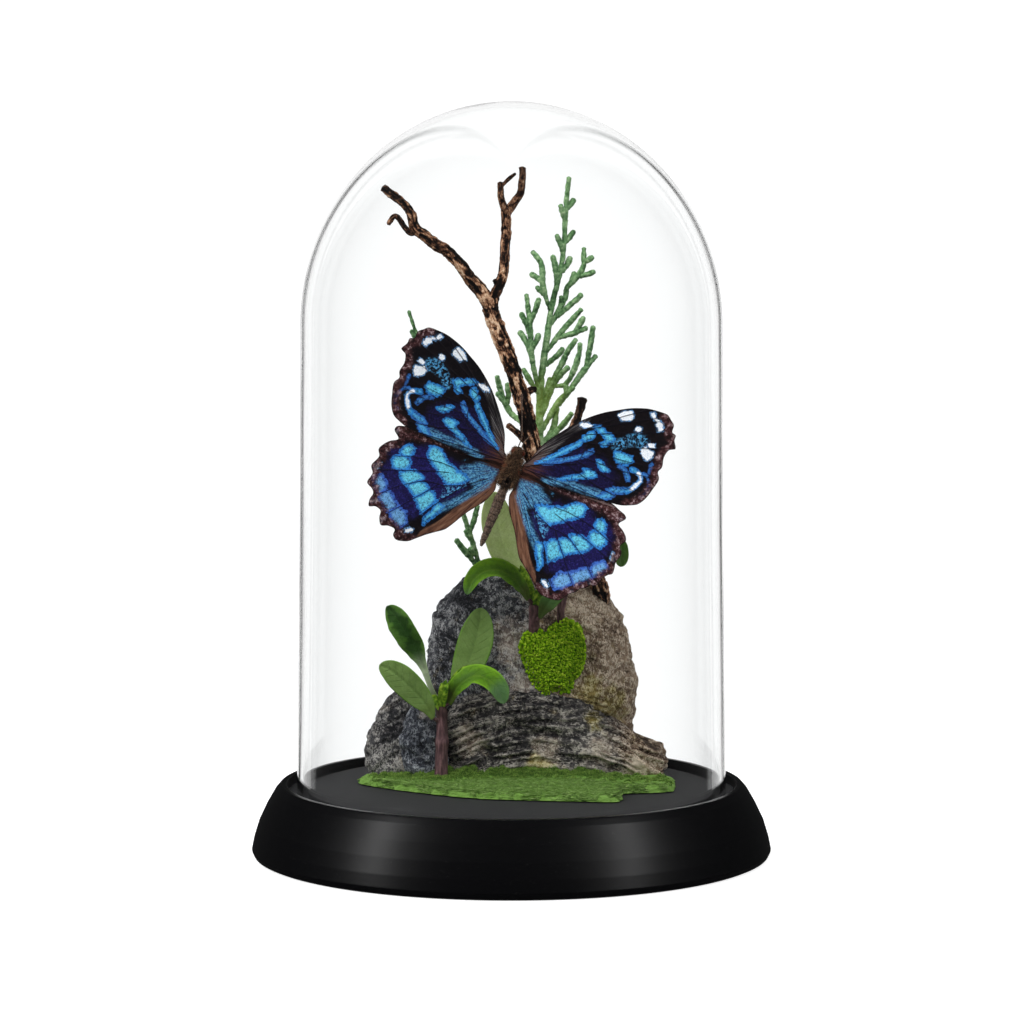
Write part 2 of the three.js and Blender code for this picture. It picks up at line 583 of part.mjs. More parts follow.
// side is 1 for the right wing and -1 for the left, and swing turns the wing about its root. The outline
// is what is seen straight from above, so it is stretched a little along the raised wing.
function wing(outline, side, lift, swing = 0) {
  const root = new THREE.Vector2(...outline[0]);
  const seen = outline.map(([u, v]) => new THREE.Vector2(u, v).rotateAround(root, swing));
  const shape = new THREE.Shape(seen.map(({ x, y }) => new THREE.Vector2(x / Math.cos(WING_RAISE), y)));
  const plate = new THREE.ExtrudeGeometry(shape, { depth: WING_THICKNESS, bevelEnabled: false });
  plate.rotateY(-WING_RAISE).translate(0, 0, lift).scale(side, 1, 1);
  return solid(plate.applyMatrix4(placedInsect));
}

// ---- the assembly ----
const FINISHES = {
  lacquer: { color: 0x0d0d0e, roughness: 0.3, metalness: 0 },
  glass: { color: 0xf2f6f7, roughness: 0.02, metalness: 0, transparent: true, opacity: 0.18 },
  rock: { color: 0x6a655f, roughness: 0.9, metalness: 0 },
  moss: { color: 0x568a22, roughness: 1, metalness: 0 },
  brightMoss: { color: 0x6f9e16, roughness: 1, metalness: 0 },
  greenLeaf: { color: 0x4f8430, roughness: 0.5, metalness: 0 },
  paleLeaf: { color: 0x83a368, roughness: 0.6, metalness: 0 },
  purpleStem: { color: 0x674b46, roughness: 0.6, metalness: 0 },
  bark: { color: 0x4a3223, roughness: 0.9, metalness: 0 },
  conifer: { color: 0x4f7f49, roughness: 0.8, metalness: 0 },
  insect: { color: 0x4b372d, roughness: 0.8, metalness: 0 },
  blueWing: { color: 0x2c63a8, roughness: 0.5, metalness: 0 },
};

const display = new THREE.Group();

function place(name, made, finish) {
  const mesh = new THREE.Mesh(geometryOf(made), new THREE.MeshStandardMaterial(FINISHES[finish]));
  mesh.name = name;
  display.add(mesh);
}

place("base", base(), "lacquer");
place("glass_dome", dome(), "glass");
place("boulder", boulder, "rock");
place("ledge_stone", ledge, "rock");
place("left_front_stone", leftFrontStone, "rock");
place("left_back_stone", leftBackStone, "rock");
place("moss_mat", mossMat, "moss");
place("moss_clump", mossClump, "brightMoss");
place("twig_trunk", twigTrunk, "bark");
place("twig_left_fork", twigLeftFork, "bark");
place("twig_right_fork", twigRightFork, "bark");
place("conifer_sprig_tall", tallSprig, "conifer");
place("conifer_sprig_left", leftSprig, "conifer");
place("front_sprout_stem", frontSproutStem, "purpleStem");
place("rear_sprout_stem", rearSproutStem, "purpleStem");
place("side_sprout_stem", sideSproutStem, "purpleStem");
place("side_leaf", clearOf(sideLeaf, sideSproutStem, boulder), "greenLeaf");

// Each leaf keeps clear of its stem and of the leaves placed before it.
for (const [leaves, stalk] of [[frontLeaves, frontSproutStem], [rearLeaves, rearSproutStem]]) {
  const placed = [stalk];
  for (const [name, blade] of Object.entries(leaves)) {
    const made = clearOf(blade, ...placed, boulder, mossClump);
    place(name, made, name.endsWith("pale") || name.endsWith("lower") ? "paleLeaf" : "greenLeaf");
    placed.push(made);
  }
}

place("butterfly_body", solid(geometryOf(butterflyBody()).applyMatrix4(placedInsect)), "insect");
for (const [side, word, swing] of [[-1, "left", LEFT_FOREWING_SWING], [1, "right", 0]]) {
  place(word + "_forewing", wing(FOREWING, side, FOREWING_LIFT, swing), "blueWing");
  place(word + "_hindwing", wing(HINDWING, side, HINDWING_LIFT), "blueWing");
}

export default display;
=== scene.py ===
# %% [markdown]
# # A blue butterfly under a glass dome
#
# A dried butterfly rests on a forked twig, above stones, moss, leaves and conifer shoots, all closed in
# under a blown glass dome on a turned black base. Every piece below is a surface written as numpy arrays,
# so each cell is one formula and one finish. Lengths in the cells are millimetres.

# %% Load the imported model
import bpy
import numpy as np
from mathutils import Matrix, Vector


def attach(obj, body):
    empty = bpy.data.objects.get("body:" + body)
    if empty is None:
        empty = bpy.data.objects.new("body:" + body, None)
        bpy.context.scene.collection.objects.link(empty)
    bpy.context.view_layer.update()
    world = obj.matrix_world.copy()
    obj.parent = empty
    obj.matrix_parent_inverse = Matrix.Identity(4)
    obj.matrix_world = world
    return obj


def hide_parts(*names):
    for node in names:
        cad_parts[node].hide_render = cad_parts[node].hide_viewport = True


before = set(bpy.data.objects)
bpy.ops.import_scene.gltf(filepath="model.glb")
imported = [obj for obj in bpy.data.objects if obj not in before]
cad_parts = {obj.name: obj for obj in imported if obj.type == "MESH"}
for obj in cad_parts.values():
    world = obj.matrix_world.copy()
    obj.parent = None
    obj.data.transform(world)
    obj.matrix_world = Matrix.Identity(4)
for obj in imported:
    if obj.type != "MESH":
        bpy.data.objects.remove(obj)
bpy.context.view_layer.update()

# %% [markdown]
# ## Shapes as arrays
#
# A shape here is a dictionary of points, four-sided and three-sided faces, and named values, one for each
# point. Most real pieces in this display are tubes, blades or lumps, and each of them is a grid that closes
# on itself, so one function makes the faces of them all. Values such as the distance to a marking travel
# with the points, and the materials read them later.

# %% Grid surfaces, joining and placing
def surface(grid, **values):
    """Close a grid of rows and columns into a skin.

    The last column joins the first, and the first and last row are closed by a fan to their mean. If the
    enclosed volume, the sum of a . (b x c) / 6 over the triangles, is negative, the faces are reversed."""
    rows, columns = grid.shape[:2]
    index = np.arange(rows * columns).reshape(rows, columns)
    index = np.hstack([index, index[:, :1]])
    quads = np.stack([index[:-1, :-1], index[:-1, 1:], index[1:, 1:], index[1:, :-1]], -1).reshape(-1, 4)
    pole = np.full(columns, rows * columns)
    tris = np.vstack([
        np.stack([index[0, 1:], index[0, :-1], pole], 1),
        np.stack([index[-1, :-1], index[-1, 1:], pole + 1], 1),
    ])
    points = np.vstack([grid.reshape(-1, 3), grid[0].mean(0), grid[-1].mean(0)])
    a, b, c = points[np.vstack([quads[:, :3], quads[:, [0, 2, 3]], tris])].transpose(1, 0, 2)
    if np.einsum("ij,ij->i", a, np.cross(b, c)).sum() < 0:
        quads, tris = quads[:, ::-1], tris[:, ::-1]
    spread = {name: np.append(v.ravel(), [v[0].mean(), v[-1].mean()]) for name, v in values.items()}
    return {"points": points, "quads": quads, "tris": tris, "values": spread}


def unit(ways):
    """Each direction at length one."""
    return ways / np.linalg.norm(ways, axis=-1, keepdims=True)


def merged(shapes):
    """Put several shapes in one, each one's face numbers moved on by the points before it."""
    starts = np.cumsum([0] + [len(s["points"]) for s in shapes[:-1]])
    names = sorted({name for s in shapes for name in s["values"]})
    return {
        "points": np.vstack([s["points"] for s in shapes]),
        "quads": np.vstack([s["quads"] + start for s, start in zip(shapes, starts)]),
        "tris": np.vstack([s["tris"] + start for s, start in zip(shapes, starts)]),
        "values": {
            name: np.concatenate([s["values"].get(name, np.zeros(len(s["points"]))) for s in shapes])
            for name in names
        },
    }


def make_piece(name, shape, material, slot, *nodes):
    """Make one object from a shape in millimetres, ride it on the body and let it stand for its nodes."""
    mesh = bpy.data.meshes.new(name)
    quads, tris = shape["quads"], shape["tris"]
    mesh.vertices.add(len(shape["points"]))
    mesh.vertices.foreach_set("co", (shape["points"] * 0.001).ravel())
    corners = np.concatenate([quads.ravel(), tris.ravel()]).astype(np.int32)
    mesh.loops.add(len(corners))
    mesh.loops.foreach_set("vertex_index", corners)
    starts = np.concatenate([np.arange(len(quads)) * 4, quads.size + np.arange(len(tris)) * 3])
    mesh.polygons.add(len(starts))
    mesh.polygons.foreach_set("loop_start", starts.astype(np.int32))
    mesh.polygons.foreach_set("use_smooth", np.ones(len(starts), bool))
    mesh.update(calc_edges=True)
    mesh.validate()
    for key, value in shape["values"].items():
        mesh.attributes.new(key, "FLOAT", "POINT").data.foreach_set("value", value.astype(np.float32))
    piece = bpy.data.objects.new(name, mesh)
    bpy.context.scene.collection.objects.link(piece)
    mesh.materials.append(material)
    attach(piece, "root")
    if nodes:
        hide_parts(*nodes)
    print(name, "has", len(shape["points"]), "points and", 2 * len(quads) + len(tris), "triangles")
    return piece


# %% [markdown]
# ## Random but repeatable roughness
#
# Rock, bark and moss all need the same thing: a value that wanders smoothly in space. A fixed table of
# random numbers on a cubic lattice gives it, and it is the same on every run.

# %% Noise in space
def noise(points, size, seed=0):
    """A smooth value from -1 to 1 at each point: random lattice values, size mm apart, blended with the
    weight f * f * (3 - 2 f) of the place f inside its cell."""
    table = np.random.default_rng(seed).random((32, 32, 32)) * 2 - 1
    place = points / size + 200
    cell = np.floor(place).astype(int)
    part = place - cell
    part = part * part * (3 - 2 * part)
    total = np.zeros(points.shape[:-1])
    for corner in np.ndindex(2, 2, 2):
        weight = np.where(corner, part, 1 - part).prod(-1)
        i = (cell + corner) % 32
        total += weight * table[i[..., 0], i[..., 1], i[..., 2]]
    return total


def layered(points, size, layers, seed=0):
    """Noise plus half as much at half the size, and so on, for so many layers."""
    return sum(noise(points, size / 2**k, seed + k) / 2**k for k in range(layers))


def normals_of(grid):
    """The direction across each grid point: the product of the steps along its column and its row."""
    down = np.gradient(grid, axis=0)
    around = (np.roll(grid, -1, axis=1) - np.roll(grid, 1, axis=1)) / 2
    across = np.cross(around, down)
    return across / np.maximum(np.linalg.norm(across, axis=-1, keepdims=True), 1e-9)


# %% [markdown]
# ## Curves, tubes and spikes
#
# Twigs, stems, legs and shoots are tubes along a curve. The curve passes through the same points as the
# CAD's, and the ring's frame is carried along it without twisting, so furrows can run down a branch.

# %% Tubes along a path
def travelled_to(line, power=1):
    """The sum of the steps along a line, each to a power, up to each of its places."""
    return np.append(0, np.cumsum(np.linalg.norm(np.diff(line, axis=0), axis=1) ** power))


def evenly(line, places, endpoint=True):
    """So many evenly spaced places on a line of short steps."""
    length = travelled_to(line)
    even = np.linspace(0, length[-1], places, endpoint=endpoint)
    return np.stack([np.interp(even, length, column) for column in line.T], 1)


def smooth_path(points, steps):
    """Evenly spaced places on the centripetal Catmull-Rom curve: four neighbours are blended in pairs,
    with knots spaced by the square root of the distance between points."""
    points = np.asarray(points, float)
    padded = np.vstack([2 * points[0] - points[1], points, 2 * points[-1] - points[-2]])
    knots = travelled_to(padded, 0.5)
    fine = np.linspace(knots[1], knots[-2], 30 * len(points))
    i = np.clip(np.searchsorted(knots, fine, side="right") - 1, 1, len(points) - 1)
    p, k = [padded[i + j] for j in (-1, 0, 1, 2)], [knots[i + j] for j in (-1, 0, 1, 2)]
    blend = lambda a, b, low, high: a + (b - a) * ((fine - low) / (high - low))[:, None]
    first = [blend(p[j], p[j + 1], k[j], k[j + 1]) for j in range(3)]
    second = [blend(first[j], first[j + 1], k[j], k[j + 2]) for j in range(2)]
    return evenly(blend(second[0], second[1], k[1], k[2]), steps + 1)


def carried_frames(path):
    """Two directions across the path at each place, each pair turned only as much as the path bends."""
    along = unit(np.gradient(path, axis=0))
    side = np.cross(along[0], [0.0, 1.0, 0.0] if abs(along[0][1]) < 0.9 else [1.0, 0.0, 0.0])
    sides = []
    for direction in along:
        side = unit(side - direction * (side @ direction))
        sides.append(side)
    return np.array(sides), np.cross(along, sides)


def tube(points, radii, sides=12, step=0.6, relief=None, blunt=0.6):
    """A closed tube along a smooth path.

    Its radius runs evenly through radii and shrinks to blunt over the last stretch at both ends, as a
    quarter circle does. relief(centres, angle, along, radius) gives a height to add, and is kept as the
    value height. The value along is millimetres from the start, and the values cos_side and sin_side are
    the place round the path, in millimetres from it."""
    rough_length = np.linalg.norm(np.diff(np.asarray(points, float), axis=0), axis=1).sum()
    steps = max(6, int(rough_length / step))
    path = smooth_path(points, steps)
    travelled = np.linspace(0, rough_length, steps + 1)
    radius = np.interp(np.linspace(0, 1, steps + 1), np.linspace(0, 1, len(radii)), radii)
    ends = np.minimum(travelled, rough_length - travelled) / (blunt * radius + 1e-6)
    radius = radius * np.sqrt(np.clip(1 - (1 - np.clip(ends, 0, 1)) ** 2, 0.03, 1))
    side, up = carried_frames(path)
    angle = np.linspace(0, 2 * np.pi, sides, endpoint=False)
    ring = np.cos(angle)[:, None] * side[:, None] + np.sin(angle)[:, None] * up[:, None]
    reach = radius[:, None] * np.ones(sides)
    grid = path[:, None] + ring * reach[..., None]
    height = np.zeros(reach.shape)
    if relief:
        height = relief(grid, angle[None], travelled[:, None], radius[:, None])
        height = height * np.clip(ends, 0.2, 1)[:, None]
        grid = grid + ring * height[..., None]
    return surface(grid, height=height, along=travelled[:, None] + 0 * reach, cos_side=reach * np.cos(angle),
                   sin_side=reach * np.sin(angle))


def spikes(roots, tips, width, **values):
    """Many closed three-sided spikes in one shape: each has three points round its root and one tip."""
    along = unit(tips - roots)
    side = unit(np.cross(along, [0.31, 0.79, 0.53]))
    up = np.cross(along, side)
    turns = np.array([0, 2.094, 4.189])
    ring = np.cos(turns)[None, :, None] * side[:, None] + np.sin(turns)[None, :, None] * up[:, None]
    feet = roots[:, None] + ring * np.broadcast_to(width, len(roots))[:, None, None]
    points = np.concatenate([feet, tips[:, None]], 1)
    start = 4 * np.arange(len(roots))[:, None, None]
    faces = np.array([[0, 1, 3], [1, 2, 3], [2, 0, 3], [2, 1, 0]])
    return {
        "points": points.reshape(-1, 3),
        "quads": np.empty((0, 4), int),
        "tris": (start + faces).reshape(-1, 3),
        "values": {name: np.repeat(value, 4) for name, value in values.items()},
    }


print("a test tube has", len(tube([[0, 0, 0], [0, 1, 5], [0, 0, 9]], [1])["points"]), "points")

# %% [markdown]
# ## Short calls for shader nodes
#
# Materials are node trees. The class Tree adds a node, feeds its inputs in order and hands back an output,
# and outputs can be added and multiplied, so that a finish reads as a formula. Colours are written as
# screen values from 0 to 255 and turned into the linear values that light works in.

# %% The node helper
def rgb(red, green, blue):
    """Linear red, green, blue and alpha of a screen colour: c / 12.92 below 0.04, else a 2.4 power."""
    c = np.array([red, green, blue]) / 255
    return (*np.where(c < 0.04045, c / 12.92, ((c + 0.055) / 1.055) ** 2.4), 1.0)


class Socket:
    """An output in a tree. The signs + - * / between it and a number or another output add a Math node."""

    def __init__(self, tree, socket):
        self.tree, self.socket = tree, socket

    def __add__(self, other):
        return self.tree.math("ADD", self, other)

    def __radd__(self, other):
        return self.tree.math("ADD", other, self)

    def __sub__(self, other):
        return self.tree.math("SUBTRACT", self, other)

    def __rsub__(self, other):
        return self.tree.math("SUBTRACT", other, self)

    def __mul__(self, other):
        return self.tree.math("MULTIPLY", self, other)

    def __rmul__(self, other):
        return self.tree.math("MULTIPLY", other, self)

    def __truediv__(self, other):
        return self.tree.math("DIVIDE", self, other)

    def __rtruediv__(self, other):
        return self.tree.math("DIVIDE", other, self)


class Tree:
    """Adds nodes to one shader tree. Sockets are linked, anything else is set as a plain value."""

    def __init__(self, tree):
        self.tree = tree

    def feed(self, socket, value):
        if isinstance(value, Socket):
            value = value.socket
        if isinstance(value, bpy.types.NodeSocket):
            self.tree.links.new(value, socket)
        elif value is not None:
            socket.default_value = value

    def node(self, kind, *inputs, out=0, **settings):
        """Add a node, feed its first inputs in order, skipping None, and give one of its outputs."""
        made = self.tree.nodes.new("ShaderNode" + kind)
        for name, value in settings.items():
            setattr(made, name, value)
        for socket, value in zip(made.inputs, inputs):
            self.feed(socket, value)
        return Socket(self, made.outputs[out])

    def place(self):
        return self.node("TexCoord", out="Object")

    def value(self, name):
        return self.node("Attribute", attribute_name=name, out="Fac")

    def math(self, operation, *inputs):
        return self.node("Math", *inputs, operation=operation)

    def noise(self, place, size, detail=3.0, roughness=0.55, stretch=None, twist=0.0):
        """Noise whose lumps are about size mm across, longer along an axis where stretch is below 1, and
        drawn out into threads by twist."""
        if stretch:
            place = self.node("VectorMath", place, stretch, operation="MULTIPLY")
        return self.node("TexNoise", place, None, 1000 / size, detail, roughness, None, None, None, twist)

    def spot(self, place, centre, radius):
        """1 at a centre in mm, falling to 0 at radius mm from it."""
        away = self.node("VectorMath", place, [c / 1000 for c in centre], operation="DISTANCE", out="Value")
        return self.between(away, 0.0, radius / 1000, 1.0, 0.0)

    def between(self, value, low, high, start=0.0, end=1.0):
        """A smooth step: start where value is at low, end where it is at high."""
        return self.node("MapRange", value, low, high, start, end, interpolation_type="SMOOTHSTEP")

    def mix(self, factor, first, second):
        """Colours first (1 - factor) + second factor. Its own sockets are the first, seventh and eighth."""
        return self.node("Mix", factor, *[None] * 5, first, second, out=2, data_type="RGBA")

    def ramp(self, value, *stops):
        """A colour read off a scale of (place, colour) stops."""
        made = self.node("ValToRGB", value)
        scale = made.socket.node.color_ramp
        while len(scale.elements) < len(stops):
            scale.elements.new(1.0)
        for element, (place, colour) in zip(scale.elements, stops):
            element.position, element.color = place, colour
        return made

    def group(self, group, **inputs):
        made = self.tree.nodes.new("ShaderNodeGroup")
        made.node_tree = group
        for name, value in inputs.items():
            self.feed(made.inputs[name], value)
        return Socket(self, made.outputs[0])


def make_group(name, inputs, output, build):
    """A node group with float inputs and one output that build(tree, inputs) gives."""
    group = bpy.data.node_groups.new(name, "ShaderNodeTree")
    for label, default in inputs.items():
        entry = group.interface.new_socket(label, in_out="INPUT", socket_type="NodeSocketFloat")
        entry.default_value = default
    group.interface.new_socket("Result", in_out="OUTPUT", socket_type=output)
    start, end = group.nodes.new("NodeGroupInput"), group.nodes.new("NodeGroupOutput")
    tree = Tree(group)
    tree.feed(end.inputs[0], build(tree, {label: Socket(tree, start.outputs[label]) for label in inputs}))
    return group


def make_finish(name, build, **plain):
    """A Principled material. build(tree) gives the inputs that nodes drive, plain the constant ones."""
    material = bpy.data.materials.new(name)
    material.use_nodes = True
    tree = Tree(material.node_tree)
    shader = material.node_tree.nodes["Principled BSDF"]
    for label, value in {**plain, **build(tree)}.items():
        tree.feed(shader.inputs[label.replace("_", " ")], value)
    return material


# %% [markdown]
# ## Effects that several finishes share
#
# Two small groups: a bump from a height in millimetres, and a mask whose edge is ragged, as rows of scales
# make it. They only give a normal and a value, so each material keeps its own shader.

# %% Shared groups
RELIEF = make_group(
    "relief", {"Height": 0.0, "Depth": 0.3}, "NodeSocketVector",
    lambda t, i: t.node("Bump", 1.0, i["Depth"] * 0.001, None, i["Height"]),
)
RAGGED = make_group(
    "ragged_mask", {"Distance": 0.0, "Softness": 0.12, "Raggedness": 0.3, "Size": 0.5}, "NodeSocketFloat",
    lambda t, i: t.between(
        i["Distance"] + i["Raggedness"] * (t.node("TexNoise", t.place(), None, 1000.0 / i["Size"], 3.0,
        0.6) - 0.5),
        i["Softness"] * (-1.0), i["Softness"]),
)
print("shared groups:", RELIEF.name, RAGGED.name)

# %% [markdown]
# ## The black base
#
# A wooden disc, turned with a convex side and a thin raised lip, sprayed satin black. The plate inside the
# lip is flatter and greyer: it is rubbed matt, and its grey colour also paints the glancing reflection of a
# plate seen at a low angle, a painted reflection. The profile is spun round the axis, with each corner eased
# by a small arc so that it catches a line of light.

# %% Turned surfaces and the base
def eased(profile, reach=0.25):
    """Replace every inner corner by five places on the curve (1-t)^2 a + 2t(1-t) corner + t^2 b, whose
    ends a and b lie reach mm before and after the corner, and add a place close by on each side."""
    profile = np.asarray(profile, float)
    made = [profile[:1]]
    t = np.linspace(0, 1, 5)[:, None]
    for before, corner, after in zip(profile[:-2], profile[1:-1], profile[2:]):
        sizes = [min(reach, 0.4 * np.linalg.norm(end - corner)) for end in (before, after)]
        ways = [(end - corner) / np.linalg.norm(end - corner) for end in (before, after)]
        a, b = (corner + size * way for size, way in zip(sizes, ways))
        curve = (1 - t) ** 2 * a + 2 * t * (1 - t) * corner + t**2 * b
        made += [[a + 0.3 * sizes[0] * ways[0]], curve, [b + 0.3 * sizes[1] * ways[1]]]
    return np.vstack(made + [profile[-1:]])


def turned(profile, sides=192):
    """Spin (radius, height) places round the z axis."""
    angle = np.linspace(0, 2 * np.pi, sides, endpoint=False)
    radius, height = np.asarray(profile).T
    return np.stack([
        radius[:, None] * np.cos(angle), radius[:, None] * np.sin(angle), height[:, None] + 0 * angle,
    ], -1)


# Heights in mm of the plate inside the lip, and of the ground that everything stands on.
PLATE_TOP, GROUND = 18.3, 18.6
base_profile = eased([
    [30, 0], [67.5, 0], [68.9, 0.6], [69.6, 2], [68.9, 5.4], [67.6, 9.6], [65.6, 13.8], [63.3, 17.8],
    [62, 19.3],
    [61.6, 19.6], [60.2, 19.6], [60.2, 16.8], [54.3, 16.8], [54.3, PLATE_TOP], [30, PLATE_TOP],
])
base_grid = turned(base_profile)
plate = (np.hypot(base_grid[..., 0], base_grid[..., 1]) < 60.1) & (base_grid[..., 2] > 15)


def lacquer(t):
    place = t.place()
    matt_and_painted_reflection = t.value("plate")
    dust = t.noise(place, 0.7, 4.0, 0.7)
    cloud = t.noise(place, 22, 3.0)
    # The plate's grey is matt paint and partly a painted reflection of a plate seen at a low angle.
    colour = t.mix(matt_and_painted_reflection, rgb(4, 4, 5), t.mix(cloud, rgb(36, 36, 37), rgb(42, 42, 43)))
    colour = t.mix(t.between(dust, 0.62, 0.8, 0.0, 0.12), colour, rgb(96, 96, 94))
    sheen = t.between(cloud, 0.3, 0.7, 0.32, 0.35) + matt_and_painted_reflection * 0.45
    return {
        "Base_Color": colour,
        "Roughness": sheen,
        "Normal": t.group(RELIEF, Height=t.noise(place, 1.2, 3.0), Depth=0.012),
    }


LACQUER = make_finish("satin_black_lacquer", lacquer, Specular_IOR_Level=0.16)
base_disc = make_piece("base_disc", surface(base_grid, plate=plate.astype(float)), LACQUER,
    "black_lacquer", "base")

# %% [markdown]
# ## The glass dome
#
# A blown dome: a nearly straight wall that widens a little towards its foot, under an oval cap. It is one
# closed skin, out along the inner wall, round the foot and back up the outer wall, so that light bends in
# and out of real glass. It casts no shadow, which stands for the light that real glass lets through.

# %% The dome
def dome_line(inset, places=60):
    """Half the section from the axis down: radius cos(a), rise sin(a) on the cap, then the wall."""
    radius, rise = 56 - inset, 59.2 - inset
    angle = np.linspace(np.pi / 2 - 0.02, 0, places)
    cap = np.stack([radius * np.cos(angle), 142 + rise * np.sin(angle)], 1)
    height = np.append(np.linspace(136, 17.5, 30), [17.2, 17.14, 17.1])
    wall = np.stack([np.interp(height, [17.1, 85, 142], [57.5 - inset, radius + 0.5, radius]), height], 1)
    return np.vstack([cap, wall])


GLASS_WALL = 1.5
glass_profile = np.vstack([dome_line(GLASS_WALL), dome_line(0)[::-1]])


def clear_glass(t):
    wave = t.noise(t.place(), 38, 2.0, stretch=(1.0, 1.0, 0.4))
    return {"Normal": t.group(RELIEF, Height=wave, Depth=0.15)}


GLASS = make_finish(
    "clear_dome_glass", clear_glass, Base_Color=(0.985, 0.992, 0.992, 1), Transmission_Weight=1.0, IOR=1.3,
    Roughness=0.0,
)
dome = make_piece("dome_shell", surface(turned(glass_profile)), GLASS, "dome_glass", "glass_dome")
dome.visible_shadow = False

# %% [markdown]
# ## Stones
#
# Four pieces of weathered stone: a tall boulder, a low layered ledge and two blocks. Each is a stack of
# rounded oblongs from a short table of heights and limits. Flat chips are then cut off it, as stone breaks
# in planes, and split layers and pits of several sizes are pressed in. The height above the smooth form
# and the place among the layers are kept: strata are coloured by the layers, and the height paints crests
# lighter and hollows darker, a painted highlight and painted shade.

# %% Stones
def chipped(grid, chips, depth, seed):
    """Cut planes off a shape: a point beyond a plane moves back to it, p - n max(0, p . n - reach). The
    directions n are random, and each reach is up to depth mm less than the shape's own."""
    random = np.random.default_rng(seed)
    directions = unit(random.normal(size=(chips, 3)) * [1, 1, 0.6])
    for direction, cut_depth in zip(directions, depth * random.random(chips)):
        height = grid @ direction
        grid = grid - np.maximum(0, height - height.max() + cut_depth)[..., None] * direction
    return grid


def stone(levels, seed, rough, squareness, strata, split_depth=0.3, chip_depth=1.0, step=0.36, chips=26):
    """A stone from rows of height, left, right, front and back.

    Each level is the oblong x = cos(a)^s, y = sin(a)^s, taken at even steps round its edge. The waves are
    those of the CAD solid. strata(points) says how far up its layers a point is. Layers stand out or back
    in steps, which tanh makes flat with sharp edges."""
    levels = np.asarray(levels, float)
    levels = np.vstack([levels, levels[-1] + [0.25, 0, 0, 0, 0]])
    low, high = levels[0, 0], levels[-1, 0]
    width = (levels[:, 2] - levels[:, 1] + levels[:, 4] - levels[:, 3]).max()
    columns, rows = int(1.8 * width / step), int((high - low) * 1.2 / step)
    z = np.linspace(low, high, rows)
    left, right, front, back = (np.interp(z, levels[:, 0], levels[:, k])[:, None] for k in (1, 2, 3, 4))
    fine = np.linspace(0, 2 * np.pi, 8001)
    bow = lambda value: np.sign(value) * np.abs(value) ** squareness
    edge = np.stack([bow(np.cos(fine)), bow(np.sin(fine))], 1)
    length = travelled_to(edge)
    angle = np.interp(np.linspace(0, length[-1], columns, endpoint=False), length, fine)
    across, deep = bow(np.cos(angle)), bow(np.sin(angle))
    x = (left + right + across * (right - left)) / 2
    y = (front + back + deep * (back - front)) / 2
    zz = z[:, None] + 0 * x
    wave = np.sin(0.31 * x + 0.23 * zz + seed) * np.sin(0.37 * y - 0.29 * zz + 2 * seed)
    wave = wave + 0.6 * np.sin(0.83 * zz + 0.51 * x + 3 * seed) * np.cos(0.67 * y + 0.4 * x)
    bump = rough * wave * np.clip((zz - low) / 4, 0, 1)
    grid = np.stack([x + across * bump, y + deep * bump, zz], -1)
    lid = np.linspace(0.96, 0.05, 26)[:, None, None]
    middle = grid[-1].mean(0)
    cover = middle + (grid[-1][None] - middle) * lid
    cover[..., 2] += 0.5 * (1 - lid[..., 0] ** 2)
    grid = chipped(np.vstack([grid, cover]), chips, chip_depth, int(10 * seed))
    bent = grid + 1.3 * noise(grid, 7, int(10 * seed))[..., None]
    layer = strata(bent)
    split = noise(np.stack([layer * 1.1, 0.1 * bent[..., 0], 0.1 * bent[..., 1]], -1), 1.0, 7)
    crease = np.abs(layered(grid * [1, 1, 1.3], 5, 3, int(20 * seed)))
    pits = layered(grid, 1.2, 3, int(30 * seed))
    height = split_depth * np.tanh(5 * split) + 0.45 * crease + 0.13 * pits
    reach = np.clip((grid[..., 2:3] - low) / 1.5, 0, 1)
    grid = grid + normals_of(grid) * height[..., None] * reach
    return surface(grid, height=height, layer=layer)


LEDGE = [
    [18.6, -17.5, 42.3, 3.6, 27], [23.5, -18.2, 42.6, 2.6, 27.5], [26.6, -18.6, 41.8, 2.4, 26],
    [29, -18.6, 36.5, 2.6, 22], [32, -18.3, 31.8, 3, 18.5], [35.5, -17.6, 27, 3.2, 16],
    [38.5, -16, 22.4, 3.4, 14], [41, -13, 18.5, 3.8, 12], [42.7, -7.5, 14.5, 4.8, 10.5],
]
LEFT_FRONT = [
    [18.6, -28.5, -18.5, 1.6, 13], [25, -29.4, -17.6, 1.2, 14], [31, -29.5, -17.2, 1.4, 14],
    [35.5, -28.8, -17.6, 2.2, 13.4], [38.8, -27.2, -19, 3.6, 12], [40.7, -25, -21.4, 5.4, 9.5],
]
LEFT_BACK = [
    [18.6, -38.4, -24, 5, 21], [24, -39.3, -23.5, 4.4, 22], [30, -39.2, -23.5, 5, 22],
    [33.6, -37.2, -24, 7, 21], [38, -35, -25.5, 8.6, 19.5], [41, -33.4, -27.4, 10, 17.5],
    [42.4, -32, -29.6, 12, 15],
]
BOULDER = [
    [18.6, -23, 32, 12.6, 37.6], [34, -23.4, 33.6, 10.5, 38.8], [38, -22.8, 34, 7, 38.8],
    [41, -22.3, 34.1, 5.4, 38.6], [47, -22.7, 33.7, 5.7, 38.2], [55, -22.3, 31.8, 6.5, 37.2],
    [62, -21.1, 29.2, 7.9, 35.4], [66, -19, 27.4, 9.2, 34], [69.6, -15.6, 25.1, 10.9, 32.2],
    [73, -11.6, 22, 13.1, 30], [75.6, -6.4, 18, 15.8, 27], [77, 1, 12.5, 18.8, 24],
]


def threads(t, place, size, width, twist=0.5):
    """Thin wandering lines: 1 where noise passes through its middle value, 0 a little away from there."""
    away = t.math("ABSOLUTE", t.noise(place, size, 2.0, 0.6, twist=twist) - 0.5)
    return t.between(away, 0.4 * width, width, 1.0, 0.0)


